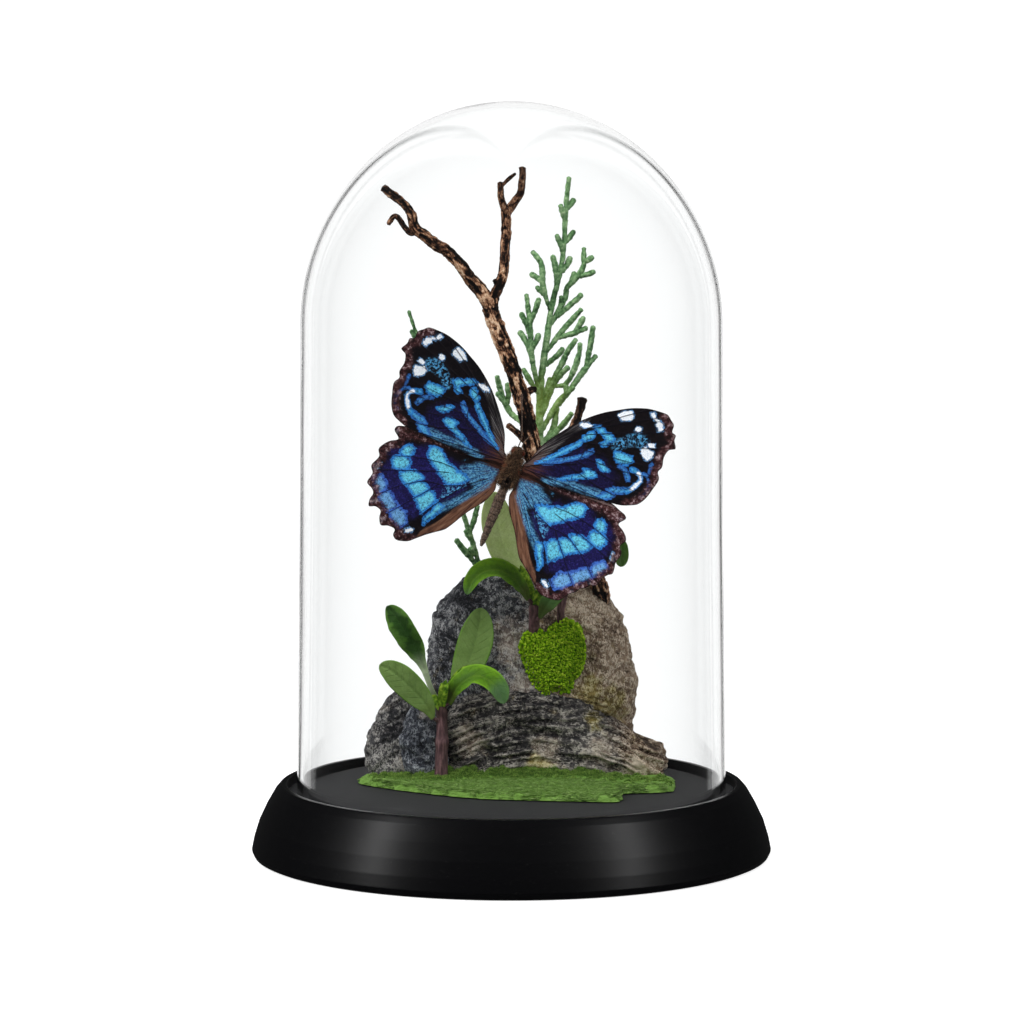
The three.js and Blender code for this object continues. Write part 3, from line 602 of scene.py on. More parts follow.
def rock(t, warm_at, stains, bands, tint=0.0, lie=(1.3, 1.0, 0.6)):
    """Short light mineral threads in a dark ground. stains is a list of (centre, radius, kind), bands says
    how strongly the layers show as lines, tint turns the grey towards blue, and lie draws the grain out.
    Faces that look up are painted darker, a painted shade, the height paints crests lighter and hollows
    darker, and the kind dark also paints the shade on the ledge's sloping top."""
    place = t.place()
    drawn = t.node("VectorMath", place, lie, operation="MULTIPLY")
    height, layer = t.value("height"), t.value("layer")
    grain = t.noise(drawn, 0.55, 6.0, 0.8)
    cloud = t.noise(place, 7, 5.0, 0.62)
    broken = t.between(t.noise(place, 1.5, 3.0, 0.7), 0.42, 0.54)
    light = t.math("MAXIMUM", threads(t, drawn, 0.75, 0.08), threads(t, drawn, 1.5, 0.045, 1.2)) * broken
    across = t.node("CombineXYZ", layer * 0.5, cloud * 3.0, 0.0)
    vein = t.math("ABSOLUTE", t.node("TexNoise", across, None, 1.0, 3.0, 0.6) - 0.5)
    vein = t.between(vein, 0.0, 0.05, 1.0, 0.0) * t.between(t.noise(place, 3.2, 4.0, 0.7), 0.4, 0.6)
    masks = {"pale": 0.0, "ochre": 0.0, "dark": 0.0}
    wisp = (t.noise(place, 4.5, 6.0, 0.72) - 0.5) * 2.4
    for centre, radius, kind in stains:
        found = t.between(t.spot(place, centre, radius) + wisp, 0.15, 0.85)
        masks[kind] = t.math("MAXIMUM", masks[kind], found)
    x = t.node("SeparateXYZ", place) * 1000.0
    warm = t.between(x + wisp * 7.0, *warm_at)
    # Painted shade: faces that look up are made darker.
    up_facing_painted_shade = t.between(t.node("SeparateXYZ", t.node("NewGeometry", out="Normal"), out=2), 0.3, 0.85)
    tone = grain * 0.55 + cloud * 0.28
    tone = tone + 0.02
    # The height paints crests lighter and hollows darker: painted highlight and painted shade.
    for mask, amount in (
            (light, 0.23), (vein, bands), (height, 0.14), (masks["pale"], 0.11), (masks["dark"], -0.09),
            (up_facing_painted_shade, -0.13)):
        tone = tone + mask * amount
    places = (0.34, 0.45, 0.56, 0.72)
    scale = lambda *colours: t.ramp(tone, *zip(places, colours))
    grey = scale(rgb(30, 29, 30), rgb(62, 60, 59), rgb(98, 94, 90), rgb(188, 181, 170))
    bluish = scale(rgb(26, 28, 33), rgb(54, 57, 64), rgb(88, 92, 100), rgb(164, 168, 174))
    tan = scale(rgb(52, 41, 33), rgb(120, 101, 84), rgb(170, 149, 127), rgb(232, 216, 194))
    ochre = scale(rgb(44, 38, 16), rgb(112, 98, 44), rgb(162, 146, 82), rgb(218, 208, 154))
    colour = t.mix(t.math("MAXIMUM", warm, masks["pale"] * 0.4), t.mix(tint, grey, bluish), tan)
    colour = t.mix(masks["ochre"] * 0.8, colour, ochre)
    return {
        "Base_Color": colour,
        "Roughness": t.between(grain, 0.3, 0.7, 0.65, 0.92),
        "Normal": t.group(RELIEF, Height=tone + light * 0.2, Depth=0.7),
    }


def tilted(x, y, z):
    return lambda points: points @ np.array([x, y, z])


def arched(x, z, squash):
    """Layers bent over a low arch: the distance from a centre, with z stretched by squash."""
    return lambda points: np.hypot(points[..., 0] - x, squash * (points[..., 2] - z))


ROCKS = {
    "boulder": (
        stone(BOULDER, 0.4, 0.6, 0.8, tilted(0.35, 0.1, 0.93), 0.16, 1.3), (2.0, 13.0), [
            ((25, 10, 36), 15, "ochre"), ((21, 8, 43), 8, "ochre"), ((0, 7, 57), 11, "pale"),
            ((4, 7, 46), 10, "pale"),
            ((20, 14, 66), 12, "pale"), ((-16, 8, 52), 14, "dark"), ((-12, 10, 68), 12, "dark")], 0.04, 0.7),
    "ledge_stone": (
        stone(LEDGE, 1.3, 0.55, 0.6, arched(9, 4, 1.35), 0.4, 0.9), (24.0, 34.0), [
            ((22, 6, 35), 5, "ochre"), ((7, 3, 24), 6, "ochre"), ((24, 3, 27), 8, "pale"),
            ((34, 3, 23), 8, "pale"),
            ((41, 5, 24), 7, "pale"), ((9, 3, 27), 8, "pale"), ((-12, 3, 30), 8, "pale"),
            # This dark patch is painted shade on the ledge's sloping top.
            ((33, 9, 29.5), 12, "dark"),
            ((6, 4, 39), 12, "dark")], 0.12, 0.1, (0.5, 1.0, 1.5)),
    "left_front_stone": (
        stone(LEFT_FRONT, 4.1, 0.5, 0.72, tilted(0.7, 0.1, 0.7), 0.2, 0.8), (200.0, 210.0),
        [((-26, 3, 30), 6, "dark"), ((-23, 3, 38), 4, "pale")], 0.06, 1.0),
    "left_back_stone": (
        stone(LEFT_BACK, 2.6, 0.5, 0.66, tilted(-0.5, 0.1, 0.85), 0.25, 1.2), (200.0, 210.0),
        [((-28, 5, 24), 5, "pale"), ((-36, 8, 40), 6, "pale"), ((-31, 8, 33), 9, "dark")], 0.1, 0.35),
}
for node, (solid, *look) in ROCKS.items():
    rock_name = node.removesuffix("_stone") + "_rock"
    finish = make_finish(rock_name, lambda t: rock(t, *look), Specular_IOR_Level=0.15)
    make_piece(rock_name, solid, finish, "grey_rock", node)

# %% [markdown]
# ## Moss
#
# Two kinds. The mat is flat preserved moss: short fibres that lie level, and darker tufts that stand up
# along the feet of the stones. The clump on the boulder is a bright, crumbly cushion. Each is a low body
# with thousands of small closed spikes on it, joined into the same mesh from arrays.

# %% Moss bodies and spikes
def inside_depth(points, outline):
    """Distance from each flat point to a closed outline, positive inside, by counting crossings."""
    start, end = outline, np.roll(outline, -1, axis=0)
    edge = end - start
    away = points[:, None] - start
    share = np.clip((away * edge).sum(-1) / (edge**2).sum(-1), 0, 1)
    distance = np.linalg.norm(away - share[..., None] * edge, axis=-1).min(1)
    level = points[:, 1, None]
    rise = np.where(edge[:, 1] == 0, 1e-9, edge[:, 1])
    crossing = start[:, 0] + (level - start[:, 1]) / rise * edge[:, 0]
    hits = ((start[:, 1] > level) != (end[:, 1] > level)) & (points[:, 0, None] < crossing)
    return np.where(hits.sum(1) % 2 == 1, distance, -distance)


def outline_ring(outline, places):
    """A closed outline as evenly spaced places on a smooth curve through its corners."""
    outline = np.asarray(outline, float)
    looped = np.vstack([outline[-3:], outline, outline[:3]])
    fine = smooth_path(looped, 40 * len(looped))
    away, half = np.linalg.norm(fine - outline[0], axis=1), len(fine) // 2
    low, high = away[:half].argmin(), half + away[half:].argmin()
    return evenly(fine[low:high], places, endpoint=False)


MAT_OUTLINE = np.array([
    [-41, 10], [-41.4, 6], [-39.6, 1], [-35, -4], [-27, -10.5], [-18.9, -16.5], [-8.2, -22.4], [3, -24.8],
    [12.7, -26.2], [20, -27.2], [27, -27.8], [28.9, -25], [29.4, -15], [35.5, -13], [41.6, -11.4],
    [43.4, -7], [43.8, 2], [43.2, 10], [30, 14], [0, 14], [-30, 14],
])
MAT_BODY = 2.1
TUFTS, HAIRS_PER_TUFT, FLAT_TRIES, FLAT_FIBRES = 170, 106, 34000, 13000
random = np.random.default_rng(11)

# The tufted strip between a front and a back line, seen from above, and the height of its tops.
STRIP_FRONT = np.array([
    [-41, 1], [-36, -2.5], [-26, -4.6], [-13, -4.6], [-8, -2], [13, -1.8], [22, -3], [27, -8], [30, -12],
    [42, -11],
])
STRIP_BACK = np.array([[-41, 6], [-39, 4.6], [-30, 4.6], [-29.5, 1.4], [-18, 1.4], [-17, 3], [43, 3]])
STRIP_TOP = np.array([
    [-40, 22.0], [-37, 22.3], [-30, 22.3], [-24.5, 22.9], [-12.5, 24.3], [-3, 24.0], [13, 24.3],
    [21, 23.7], [29, 22.7], [41, 22.0],
])
read = lambda line, x: np.interp(x, line[:, 0], line[:, 1])
tuft_x = np.linspace(-40.5, 42, TUFTS) + 0.5 * random.normal(size=TUFTS)
tuft_share = random.random(TUFTS) ** 0.8
tuft_y = read(STRIP_FRONT, tuft_x) + tuft_share * (read(STRIP_BACK, tuft_x) - read(STRIP_FRONT, tuft_x))
tuft_top = 21.1 + (read(STRIP_TOP, tuft_x) - 21.1) * tuft_share**0.7 - 0.4 * random.random(TUFTS) - 0.3
tuft_size = 1.1 + 0.7 * random.random(TUFTS)
foot_x = np.array([-22.0, -20.8, -19.6, -18.4, -17.2, -16.0, -21.4, -17.8])
tuft_x[:8], tuft_y[:8] = foot_x, -4.4 - 0.5 * (np.arange(8) % 2)
tuft_top[:8] = 21.9 + 0.12 * (np.arange(8) % 3)


def tuft_height(x, y):
    """The highest of all tufts over a place: each is a dome top - size (1 - sqrt(1 - (r / size)^2))."""
    r = np.hypot(x[..., None] - tuft_x, y[..., None] - tuft_y) / tuft_size
    dome = tuft_top - 1.4 * tuft_size * (1 - np.sqrt(np.clip(1 - r**2, 0, 1)))
    return np.where(r < 1, dome, 0).max(-1)


ring = outline_ring(MAT_OUTLINE, 360)
centre = np.array([2.0, -6.0])
share = np.append(np.linspace(0.02, 1, 96) ** 0.8, [1.0, 0.995])
flat = centre + (ring - centre)[None] * share[:, None, None]
wobble = 1 + 0.02 * noise(np.dstack([flat, 0 * flat[..., 0]]), 1.6, 3)
flat = centre + (flat - centre) * wobble[..., None]
swelling = 1 + 0.09 * noise(np.dstack([flat, 0 * flat[..., 0]]), 2.6, 5)
mat_height = MAT_BODY * (1 - share**24)[:, None] * swelling
under_tufts = tuft_height(flat[..., 0], flat[..., 1]) - GROUND - 0.25
mat_height = np.maximum(mat_height, np.where(share[:, None] < 0.97, under_tufts, 0))
tufted = np.clip((mat_height - 2.4) / 0.5, 0, 1)
mat_height[-2:] = np.array([[0.15], [0.0]])
mat_grid = np.dstack([flat, GROUND + mat_height])
mat_body = surface(mat_grid, tuft=tufted, shade=0.25 + 0 * mat_height)

which = np.repeat(np.arange(TUFTS), HAIRS_PER_TUFT)
turn, out = random.random(len(which)) * 2 * np.pi, random.random(len(which)) ** 0.6
away = out[:, None] * np.c_[np.cos(turn), np.sin(turn)] * tuft_size[which][:, None]
roots = np.c_[tuft_x[which] + away[:, 0], tuft_y[which] + away[:, 1],
              tuft_top[which] - 1.4 * tuft_size[which] * (1 - np.sqrt(1 - out**2 * 0.98)) - 0.3]
way = np.c_[away / tuft_size[which][:, None] * 1.2, 1.1 + 0 * turn]
way = way + 0.5 * (random.random((len(which), 3)) * 2 - 1)
tips = roots + unit(way) * (0.45 + 0.4 * random.random((len(which), 1)))
standing = (roots[:, 2] > GROUND + 1.2) & (inside_depth(roots[:, :2], MAT_OUTLINE) > 0.3)
tips[:, 2] = np.minimum(tips[:, 2], np.where(np.abs(roots[:, 0] + 3) < 29, 24.35, 22.2))
tuft_spikes = spikes(roots[standing], tips[standing], 0.12, tuft=np.ones(standing.sum()),
                     shade=(0.35 + 0.65 * random.random(len(which)))[standing])

spots = random.random((FLAT_TRIES, 2)) * [86, 42] + [-42.5, -28.5]
before_tufts = spots[:, 1] < read(STRIP_FRONT, spots[:, 0]) + 1.5
spots = spots[(inside_depth(spots, MAT_OUTLINE) > -0.15) & before_tufts][:FLAT_FIBRES]
reach = np.c_[(1.0 + 1.2 * random.random(len(spots))) * np.sign(random.random(len(spots)) - 0.5),
              0.35 * (random.random(len(spots)) * 2 - 1)]
fits = inside_depth(spots + reach, MAT_OUTLINE) > -0.35
spots, reach = spots[fits], reach[fits]
rim = np.clip(inside_depth(spots, MAT_OUTLINE) / 1.3, 0.05, 1) ** 0.5
roots = np.c_[spots, GROUND + MAT_BODY * rim * 0.97]
tips = roots + np.c_[reach, 0.1 + 0.3 * random.random(len(spots))]
flat_fibres = spikes(roots, tips, 0.1 + 0.06 * random.random(len(spots)), tuft=np.zeros(len(spots)),
                     shade=random.random(len(spots)))
print(len(tuft_spikes["tris"]) // 4, "standing and", len(flat_fibres["tris"]) // 4, "lying fibres")


def mat_moss(t):
    place = t.place()
    fibre = t.noise(place, 0.8, 5.0, 0.7, stretch=(0.22, 1.0, 1.8))
    patch = t.noise(place, 5, 3.0)
    tone = fibre * 0.7 + t.value("shade") * 0.3
    flat_green = t.ramp(tone, (0.3, rgb(78, 110, 42)), (0.5, rgb(118, 156, 74)), (0.7, rgb(160, 190, 112)))
    dark_green = t.ramp(tone, (0.28, rgb(24, 42, 12)), (0.5, rgb(76, 108, 40)), (0.72, rgb(150, 182, 88)))
    colour = t.mix(t.value("tuft"), flat_green, dark_green)
    colour = t.mix(t.between(patch, 0.5, 0.75, 0.0, 0.25), colour, rgb(104, 152, 54))
    return {"Base_Color": colour, "Roughness": 0.85, "Normal": t.group(RELIEF, Height=fibre, Depth=0.5)}


MAT_MOSS = make_finish("flat_moss", mat_moss, Specular_IOR_Level=0.15)
make_piece("moss_mat_tufts", merged([mat_body, tuft_spikes, flat_fibres]), MAT_MOSS, "mat_moss", "moss_mat")

# %% [markdown]
# ## The bright clump
#
# Seen from the front it fills a lumpy outline on the boulder's face, over the edge of the ledge. Its
# surface is a fan from the middle to that outline, swelling forward, with crumbs and short spikes. The body
# under the crumbs is painted darker than they are, as painted shade in the gaps between them.

# %% The clump
CLUMP = [
    [2.6, 56], [4.4, 59.2], [7.4, 59.8], [9, 58.3], [10.6, 60.2], [13.8, 62.3], [17.3, 61], [19.2, 57.6],
    [19.4, 53.8], [19, 49.5], [16.8, 46.5], [15.4, 43.4], [11.7, 43.4], [9.5, 42.3], [6.1, 45.6],
    [4.2, 49.5], [3, 52.6],
]
ring = outline_ring(CLUMP, 260)
centre = np.array([11.2, 52.4])
share = np.linspace(0.02, 1, 70)
front = centre + (ring - centre)[None] * share[:, None, None]
depth = 3.3 + 5.2 * share[:, None] ** 4 + 0 * front[..., 0]
front_grid = np.stack([front[..., 0], depth, front[..., 1]], -1)
front_grid[..., 1] += 0.3 * layered(front_grid, 2.4, 2, 21)
back = centre + (ring - centre)[None] * np.linspace(0.9, 0.05, 8)[:, None, None]
back_grid = np.stack([back[..., 0], np.full(back.shape[:2], 12.0), back[..., 1]], -1)
clump_grid = np.vstack([front_grid, back_grid])
# The body's low shade and height values paint it dark: painted shade in the gaps between crumbs.
clump_body = surface(clump_grid, height=np.full(clump_grid.shape[:2], -0.1),
    shade=np.full(clump_grid.shape[:2], 0.2))
random = np.random.default_rng(12)
ball_way = np.array([
    [0, 0, 1], [0.894, 0, 0.447], [0.276, 0.851, 0.447], [-0.724, 0.526, 0.447], [-0.724, -0.526, 0.447],
    [0.276, -0.851, 0.447], [0.724, 0.526, -0.447], [-0.276, 0.851, -0.447], [-0.894, 0, -0.447],
    [-0.276, -0.851, -0.447], [0.724, -0.526, -0.447], [0, 0, -1],
])
ball_faces = np.array([
    [0, 1, 2], [0, 2, 3], [0, 3, 4], [0, 4, 5], [0, 5, 1], [1, 6, 2], [2, 6, 7], [2, 7, 3], [3, 7, 8],
    [3, 8, 4], [4, 8, 9], [4, 9, 5], [5, 9, 10], [5, 10, 1], [1, 10, 6], [6, 11, 7], [7, 11, 8],
    [8, 11, 9], [9, 11, 10], [10, 11, 6],
])


def crumb_heap(centres, radii, **values):
    """Many twenty-faced balls in one shape, ball k being centre k + radius k times the twelve corners."""
    points = centres[:, None] + radii[:, None, None] * ball_way
    start = 12 * np.arange(len(centres))[:, None, None]
    return {"points": points.reshape(-1, 3), "quads": np.empty((0, 4), int),
        "tris": (start + ball_faces).reshape(-1, 3),
            "values": {name: np.repeat(value, 12) for name, value in values.items()}}


cells = np.stack(np.meshgrid(np.arange(2, 20, 0.46), np.arange(41.5, 63, 0.46)), -1).reshape(-1, 2)
cells = cells + 0.2 * (random.random(cells.shape) * 2 - 1)
inner = inside_depth(cells, ring)
cells, inner = cells[inner > -0.2], inner[inner > -0.2]
swell = np.clip(1 - inner / 6, 0, 1)
crumb_y = 3.15 + 5.2 * swell**4 * 0.55 + 0.35 * (random.random(len(cells)) * 2 - 1)
crumb_size = 0.27 + 0.12 * random.random(len(cells))
heap = [crumb_heap(np.c_[cells[:, 0], crumb_y, cells[:, 1]], crumb_size, shade=random.random(len(cells)),
                   height=0.4 + 0 * crumb_y)]
EDGE_CRUMBS, CLUMP_SPIKES = 110, 9000
edge_places = outline_ring(CLUMP, EDGE_CRUMBS)
for layer_y in np.arange(5.2, 11.5, 0.6):
    jitter = 0.42 * (random.random((EDGE_CRUMBS, 2)) * 2 - 1)
    heap.append(crumb_heap(np.c_[edge_places[:, 0] + jitter[:, 0], layer_y + 0 * jitter[:, 0],
        edge_places[:, 1] + jitter[:, 1]],
                           0.34 + 0.22 * random.random(EDGE_CRUMBS), shade=random.random(EDGE_CRUMBS),
                           height=np.full(EDGE_CRUMBS, 0.4)))
pick = random.integers(0, len(cells), CLUMP_SPIKES)
roots = np.c_[cells[pick, 0], crumb_y[pick], cells[pick, 1]]
way = np.c_[random.random(CLUMP_SPIKES) * 2 - 1, -0.9 - 0.3 * random.random(CLUMP_SPIKES),
    random.random(CLUMP_SPIKES) * 2 - 0.8]
tips = roots + (crumb_size[pick, None] + 0.22) * unit(way)
tips[:, 1] = np.maximum(tips[:, 1], 2.4)
clump_spikes = spikes(roots, tips, 0.09, shade=0.5 + 0.5 * random.random(CLUMP_SPIKES),
    height=np.full(CLUMP_SPIKES, 0.5))
print(len(cells), "crumbs on the face and", EDGE_CRUMBS * (len(heap) - 1), "round the edge")


def clump_moss(t):
    place = t.place()
    grain = t.noise(place, 0.8, 5.0, 0.75)
    tone = grain * 0.75 + t.value("shade") * 0.2
    # The low height of the body under the crumbs darkens it: painted shade in the gaps.
    tone = tone + t.value("height") * 0.25
    colour = t.ramp(
        tone, (0.28, rgb(36, 62, 4)), (0.45, rgb(84, 130, 8)), (0.6, rgb(134, 180, 22)),
        (0.75, rgb(196, 222, 72)))
    return {"Base_Color": colour, "Roughness": 0.9, "Normal": t.group(RELIEF, Height=grain, Depth=0.5)}


CLUMP_MOSS = make_finish("crumbly_moss", clump_moss, Specular_IOR_Level=0.1)
make_piece("moss_clump_tufts", merged([clump_body, *heap, clump_spikes]), CLUMP_MOSS, "clump_moss",
    "moss_clump")

# %% [markdown]
# ## The forked twig
#
# Dry wood with furrowed bark: dark furrows that run along the branch, with worn tan ridges between them,
# and snapped ends. The furrows are noise that is stretched along the branch, so each tube is given its
# relief from its own length and angle, and the height is kept for the colour.

# %% Bark
def bark_relief(depth, seed):
    """Furrows: folded noise of the angle and a slow share of the length, with knots every now and then."""
    def relief(grid, angle, along, radius):
        twist = angle + 0.045 * along
        girth = np.maximum(radius, 0.8)
        around = np.stack([girth * np.cos(twist), girth * np.sin(twist), 0.2 * along + 0 * angle], -1)
        furrow = 0.5 - np.abs(layered(around, 1.15, 2, seed))
        crack = layered(np.stack([around[..., 0], around[..., 1], 0.8 * along + 0 * angle], -1), 0.8, 3,
            seed + 5)
        knots = noise(grid, 6.5, seed + 9)
        return depth * (1.2 * furrow + 0.55 * crack + 0.45 * knots - 0.25)
    return relief


def branch(points, radii, seed, depth=0.42, sides=64):
    return tube(points, radii, sides=sides, step=0.3, relief=bark_relief(depth, seed), blunt=0.35)


TRUNK = [
    [24.6, 17.6, 66.4], [23.4, 13, 71.6], [18.4, 7, 80.5], [12.2, 0, 90.1], [7.8, -7, 99.5],
    [5.8, -10.4, 108.2], [4.3, -10, 116.7], [1.7, -9, 126.8], [-0.4, -8, 132.9], [-2.5, -7, 138.4],
    [-4.5, -6, 143.6], [-5.9, -5.5, 147.6],
]
LEFT_FORK = [
    [-5.4, -5.6, 146.6], [-7.4, -5.5, 150.4], [-10.7, -5.5, 154.3], [-13.7, -6, 158.4],
    [-16.7, -6, 161.6], [-19.9, -6.5, 163.5], [-22.9, -7, 166], [-25.1, -7, 167.6], [-26.2, -7, 171.3],
    [-27.7, -7, 173.5], [-29.6, -7, 175.2], [-33.9, -7, 178.6],
]
RIGHT_FORK = [
    [-5.2, -5.6, 146.4], [-4.5, -5.4, 149.6], [-3.2, -5, 152.3], [-2.2, -4, 156.2], [-1.7, -3, 161.5],
    [-1.4, -2, 166.5], [-1.4, -1, 173],
]
twig = merged([
    branch(TRUNK, [2.3, 2.5, 2.4, 2.5, 2.45, 2.2, 2.1, 1.95, 2.1], 1, 0.5, 84),
    branch(LEFT_FORK, [1.95, 1.75, 1.55, 1.45, 1.35, 1.15, 1.05], 2, 0.36),
    branch(RIGHT_FORK, [1.7, 1.5, 1.35, 1.25, 1.2, 1.25], 3, 0.34),
    branch([[3.3, -9, 123.2], [5, -8, 125.2], [6.6, -7, 125.4]], [1.15, 0.8], 4, 0.2, 32),
    branch([[4.9, -10, 110.6], [2, -9.6, 113.7], [-1.2, -9, 116.3]], [0.95, 0.7], 5, 0.2, 32),
    branch([[9.4, -4.6, 96], [14.5, -2.6, 111.7], [18.2, -1, 118.7], [18.8, -1, 123]], [1.25, 1.0, 1.1], 6,
    0.5, 40),
    branch([[-24.6, -6.9, 166.9], [-26.7, -8, 166.6], [-30.4, -9, 171], [-32.5, -9, 168.7]], [0.8, 0.65],
    7, 0.18, 28),
    branch([[-1.4, -1, 171.6], [0.9, 1, 174.8], [2.3, 1, 176.9], [2.8, 1, 180.4], [3, 1, 184]],
    [1.2, 1, 0.9], 8, 0.22, 36),
    branch([[-1.4, -1.2, 171.8], [-2.7, -3, 176.2], [-3, -3, 180]], [1.1, 0.9, 0.8], 9, 0.22, 32),
    branch([[-3, -3, 178.4], [-1, -3.5, 180.4], [1.2, -4, 182.2]], [0.55, 0.4], 10, 0.12, 24),
    branch([[-3.3, -5, 152.1], [-4, -5.6, 153.4], [-4.6, -6, 154.4]], [0.85, 0.65], 11, 0.16, 24),
])


def bark(t):
    place = t.place()
    height = t.value("height")
    fine = t.noise(place, 0.6, 6.0, 0.75)
    patch = t.noise(place, 5, 3.0)
    lengthwise = t.node("CombineXYZ", t.value("cos_side"), t.value("sin_side"), t.value("along") * 0.2)
    fleck = t.node("TexNoise", lengthwise, None, 4.2, 4.0, 0.75)
    tone = height * 0.8 + fleck * 0.75
    tone = tone + (fine - 0.5) * 0.6
    tone = tone + (patch - 0.5) * 0.3
    colour = t.ramp(
        tone, (0.31, rgb(14, 10, 9)), (0.38, rgb(46, 30, 23)), (0.46, rgb(112, 76, 56)),
        (0.55, rgb(178, 134, 102)),
        (0.7, rgb(226, 198, 168)))
    top = t.between(t.node("SeparateXYZ", place, out=2), 0.172, 0.183)
    stub = t.between(t.node("SeparateXYZ", place), 0.0155, 0.0175)
    stub = stub * t.between(t.node("SeparateXYZ", place, out=2), 0.105, 0.112, 0.0, 0.8)
    colour = t.mix(t.math("MAXIMUM", top * 0.6, stub), colour, rgb(24, 19, 17))
    return {
        "Base_Color": colour,
        "Roughness": t.between(tone, 0.2, 0.7, 0.95, 0.6),
        "Normal": t.group(RELIEF, Height=fine, Depth=0.35),
    }


BARK = make_finish("furrowed_bark", bark, Specular_IOR_Level=0.2)
make_piece("twig", twig, BARK, "twig_bark", "twig_trunk", "twig_left_fork", "twig_right_fork")

# %% [markdown]
# ## Conifer shoots
#
# Two sprigs of a cypress-like conifer, dried flat. The shoots are covered by small overlapping scales in
# opposite pairs, so a shoot is a tube whose radius steps up along every scale and whose scales swap sides
# by a quarter turn. The flat depth of each branchlet follows the same ripple as the CAD solid.

# %% Shoots
def scales(size, depth):
    """Radius steps: a saw-tooth along the shoot, half a scale later on the two other sides."""
    def relief(grid, angle, along, radius):
        sway = 0.5 * (1 + np.sign(np.cos(2 * angle)))
        place = along / size + 0.5 * sway
        tooth = place - np.floor(place)
        round_off = np.abs(np.cos(2 * angle)) ** 0.5
        lumps = 0.14 * noise(grid, 1.7, 3) + 0.09 * noise(grid, 0.7, 4)
        return depth * (tooth**1.4 * round_off - 0.4) + np.minimum(1, radius / 0.6) * lumps
    return relief


TALL_PATH = [
    [6.7, 20, 74], [7.2, 17, 94], [7.6, 14, 111.3], [7.8, 13, 124.8], [8.8, 12, 132.7], [10.4, 11, 144],
    [11.3, 11, 148.8], [12.7, 10, 154.2], [13.8, 10, 160.4], [14.6, 9, 173.2], [15.4, 8, 181.4],
]
TALL_SHOOTS = [
    [[14.6, 172.5], [17, 175.5]], [[14.5, 169], [13, 174]], [[14.2, 163.5], [17, 167]],
    [[13.8, 161], [12, 166]], [[12.2, 151], [12, 156], [11, 160.5]], [[13.4, 155.5], [16, 160]],
    [[10.4, 145.5], [8.5, 152], [8, 158], [5.5, 161.5]], [[8.5, 153], [5, 155.5]],
    [[9, 149.5], [6.5, 152]], [[7.8, 121.5], [6.5, 127.5], [5.5, 133], [5, 141], [4, 150]],
    [[5, 142], [7.5, 149]], [[5, 139], [2.5, 145]], [[5.5, 133], [4, 137], [2, 140]],
    [[5.5, 135], [7.5, 139.5]], [[7.4, 123], [4.5, 127.5], [3, 130]],
    [[10, 141], [14.5, 149], [15, 151.5], [19, 156.5], [19.5, 162.5]], [[19.5, 158.5], [22, 160]],
    [[18, 154.5], [22.5, 156]], [[15.6, 152], [17, 156]], [[10.4, 141.5], [13, 145.5], [13.5, 149.5]],
    [[12, 143.5], [18, 149], [19, 150]], [[9.2, 134], [14.5, 141], [19, 146]],
    [[12.5, 138], [17, 139.5], [20.5, 141]], [[17, 139.5], [19.5, 144]],
    [[9, 130.5], [13, 134], [14, 135.5]], [[8.4, 122], [13, 130], [15.5, 135], [17.5, 138]],
    [[8, 116.5], [12, 126.5], [15.5, 130.5]], [[11.6, 125], [14.5, 125.6], [18, 133], [18.5, 137]],
    [[20, 130], [22, 141.5]], [[12.6, 119.6], [20, 130], [23, 133.5]], [[7.6, 112], [13, 121], [17, 125]],
    [[14.6, 122.4], [14.5, 126]], [[8, 109], [11, 113], [12.5, 119.5]],
    [[8, 109], [13, 113.5], [16.5, 118]], [[8, 117], [10.5, 127.5]],
    [[7.5, 110.5], [3.5, 115], [0, 117.5], [-2.5, 122.5], [-4, 128]], [[-1, 120], [-1, 126]],
    [[-0.5, 118.4], [-4, 123.5]],
]
LEFT_PATH = [
    [-7.2, 16.5, 71], [-10.1, 13, 81.3], [-13.3, 11, 91.8], [-17, 10, 105.3], [-20.8, 10, 121.5],
    [-24.2, 10, 134.9], [-27.6, 10, 145.6],
]
LEFT_SHOOTS = [
    [[-8.6, 75.6], [-12.5, 80.4], [-15.1, 84]], [[-9.6, 79.1], [-11.6, 81.4]], [[-10, 82], [-12.6, 86.4]],
    [[-11.4, 85], [-9, 93.2]], [[-24.2, 135.6], [-27, 140.4]], [[-14.4, 96], [-10.6, 103]],
    [[-17.4, 107], [-22, 114]], [[-19.4, 116], [-16, 124]], [[-22, 126], [-26.4, 132]],
]


def sprig(path, shoots, stem_radii):
    """The main stem and every shoot, each shoot's depth y = stem y + 1.5 sin(0.5 (x - stem x))."""
    path = np.asarray(path, float)
    made = [tube(path, stem_radii, sides=20, step=0.35, relief=scales(2.4, 0.1))]
    for places in shoots:
        x, z = np.asarray(places, float).T
        stem_x, stem_y = np.interp(z, path[:, 2], path[:, 0]), np.interp(z, path[:, 2], path[:, 1])
        points = np.stack([x, stem_y + 1.5 * np.sin(0.5 * (x - stem_x)), z], 1)
        if len(points) == 2:
            points = np.insert(points, 1, points.mean(0) + [0.15, 0, 0], axis=0)
        made.append(tube(points, [0.6, 0.74, 0.84, 0.66], sides=14, step=0.26, relief=scales(1.7, 0.12),
            blunt=0.7))
    return merged(made)


def conifer(t):
    place = t.place()
    fine = t.noise(place, 0.6, 4.0, 0.65)
    tone = t.value("height") * 1.4 + fine * 0.9
    colour = t.ramp(
        tone, (0.2, rgb(48, 78, 46)), (0.38, rgb(88, 128, 82)), (0.52, rgb(124, 162, 112)),
        (0.78, rgb(178, 204, 158)))
    away = t.node("VectorMath", place, (0.0085, 0.0135, 0.121), operation="DISTANCE", out="Value")
    yellow = t.between(away, 0.002, 0.012, 0.7, 0.0)
    return {
        "Base_Color": t.mix(yellow, colour, t.mix(0.6, colour, rgb(150, 172, 62))),
        "Roughness": t.between(fine, 0.3, 0.7, 0.55, 0.8),
        "Normal": t.group(RELIEF, Height=fine, Depth=0.25),
    }


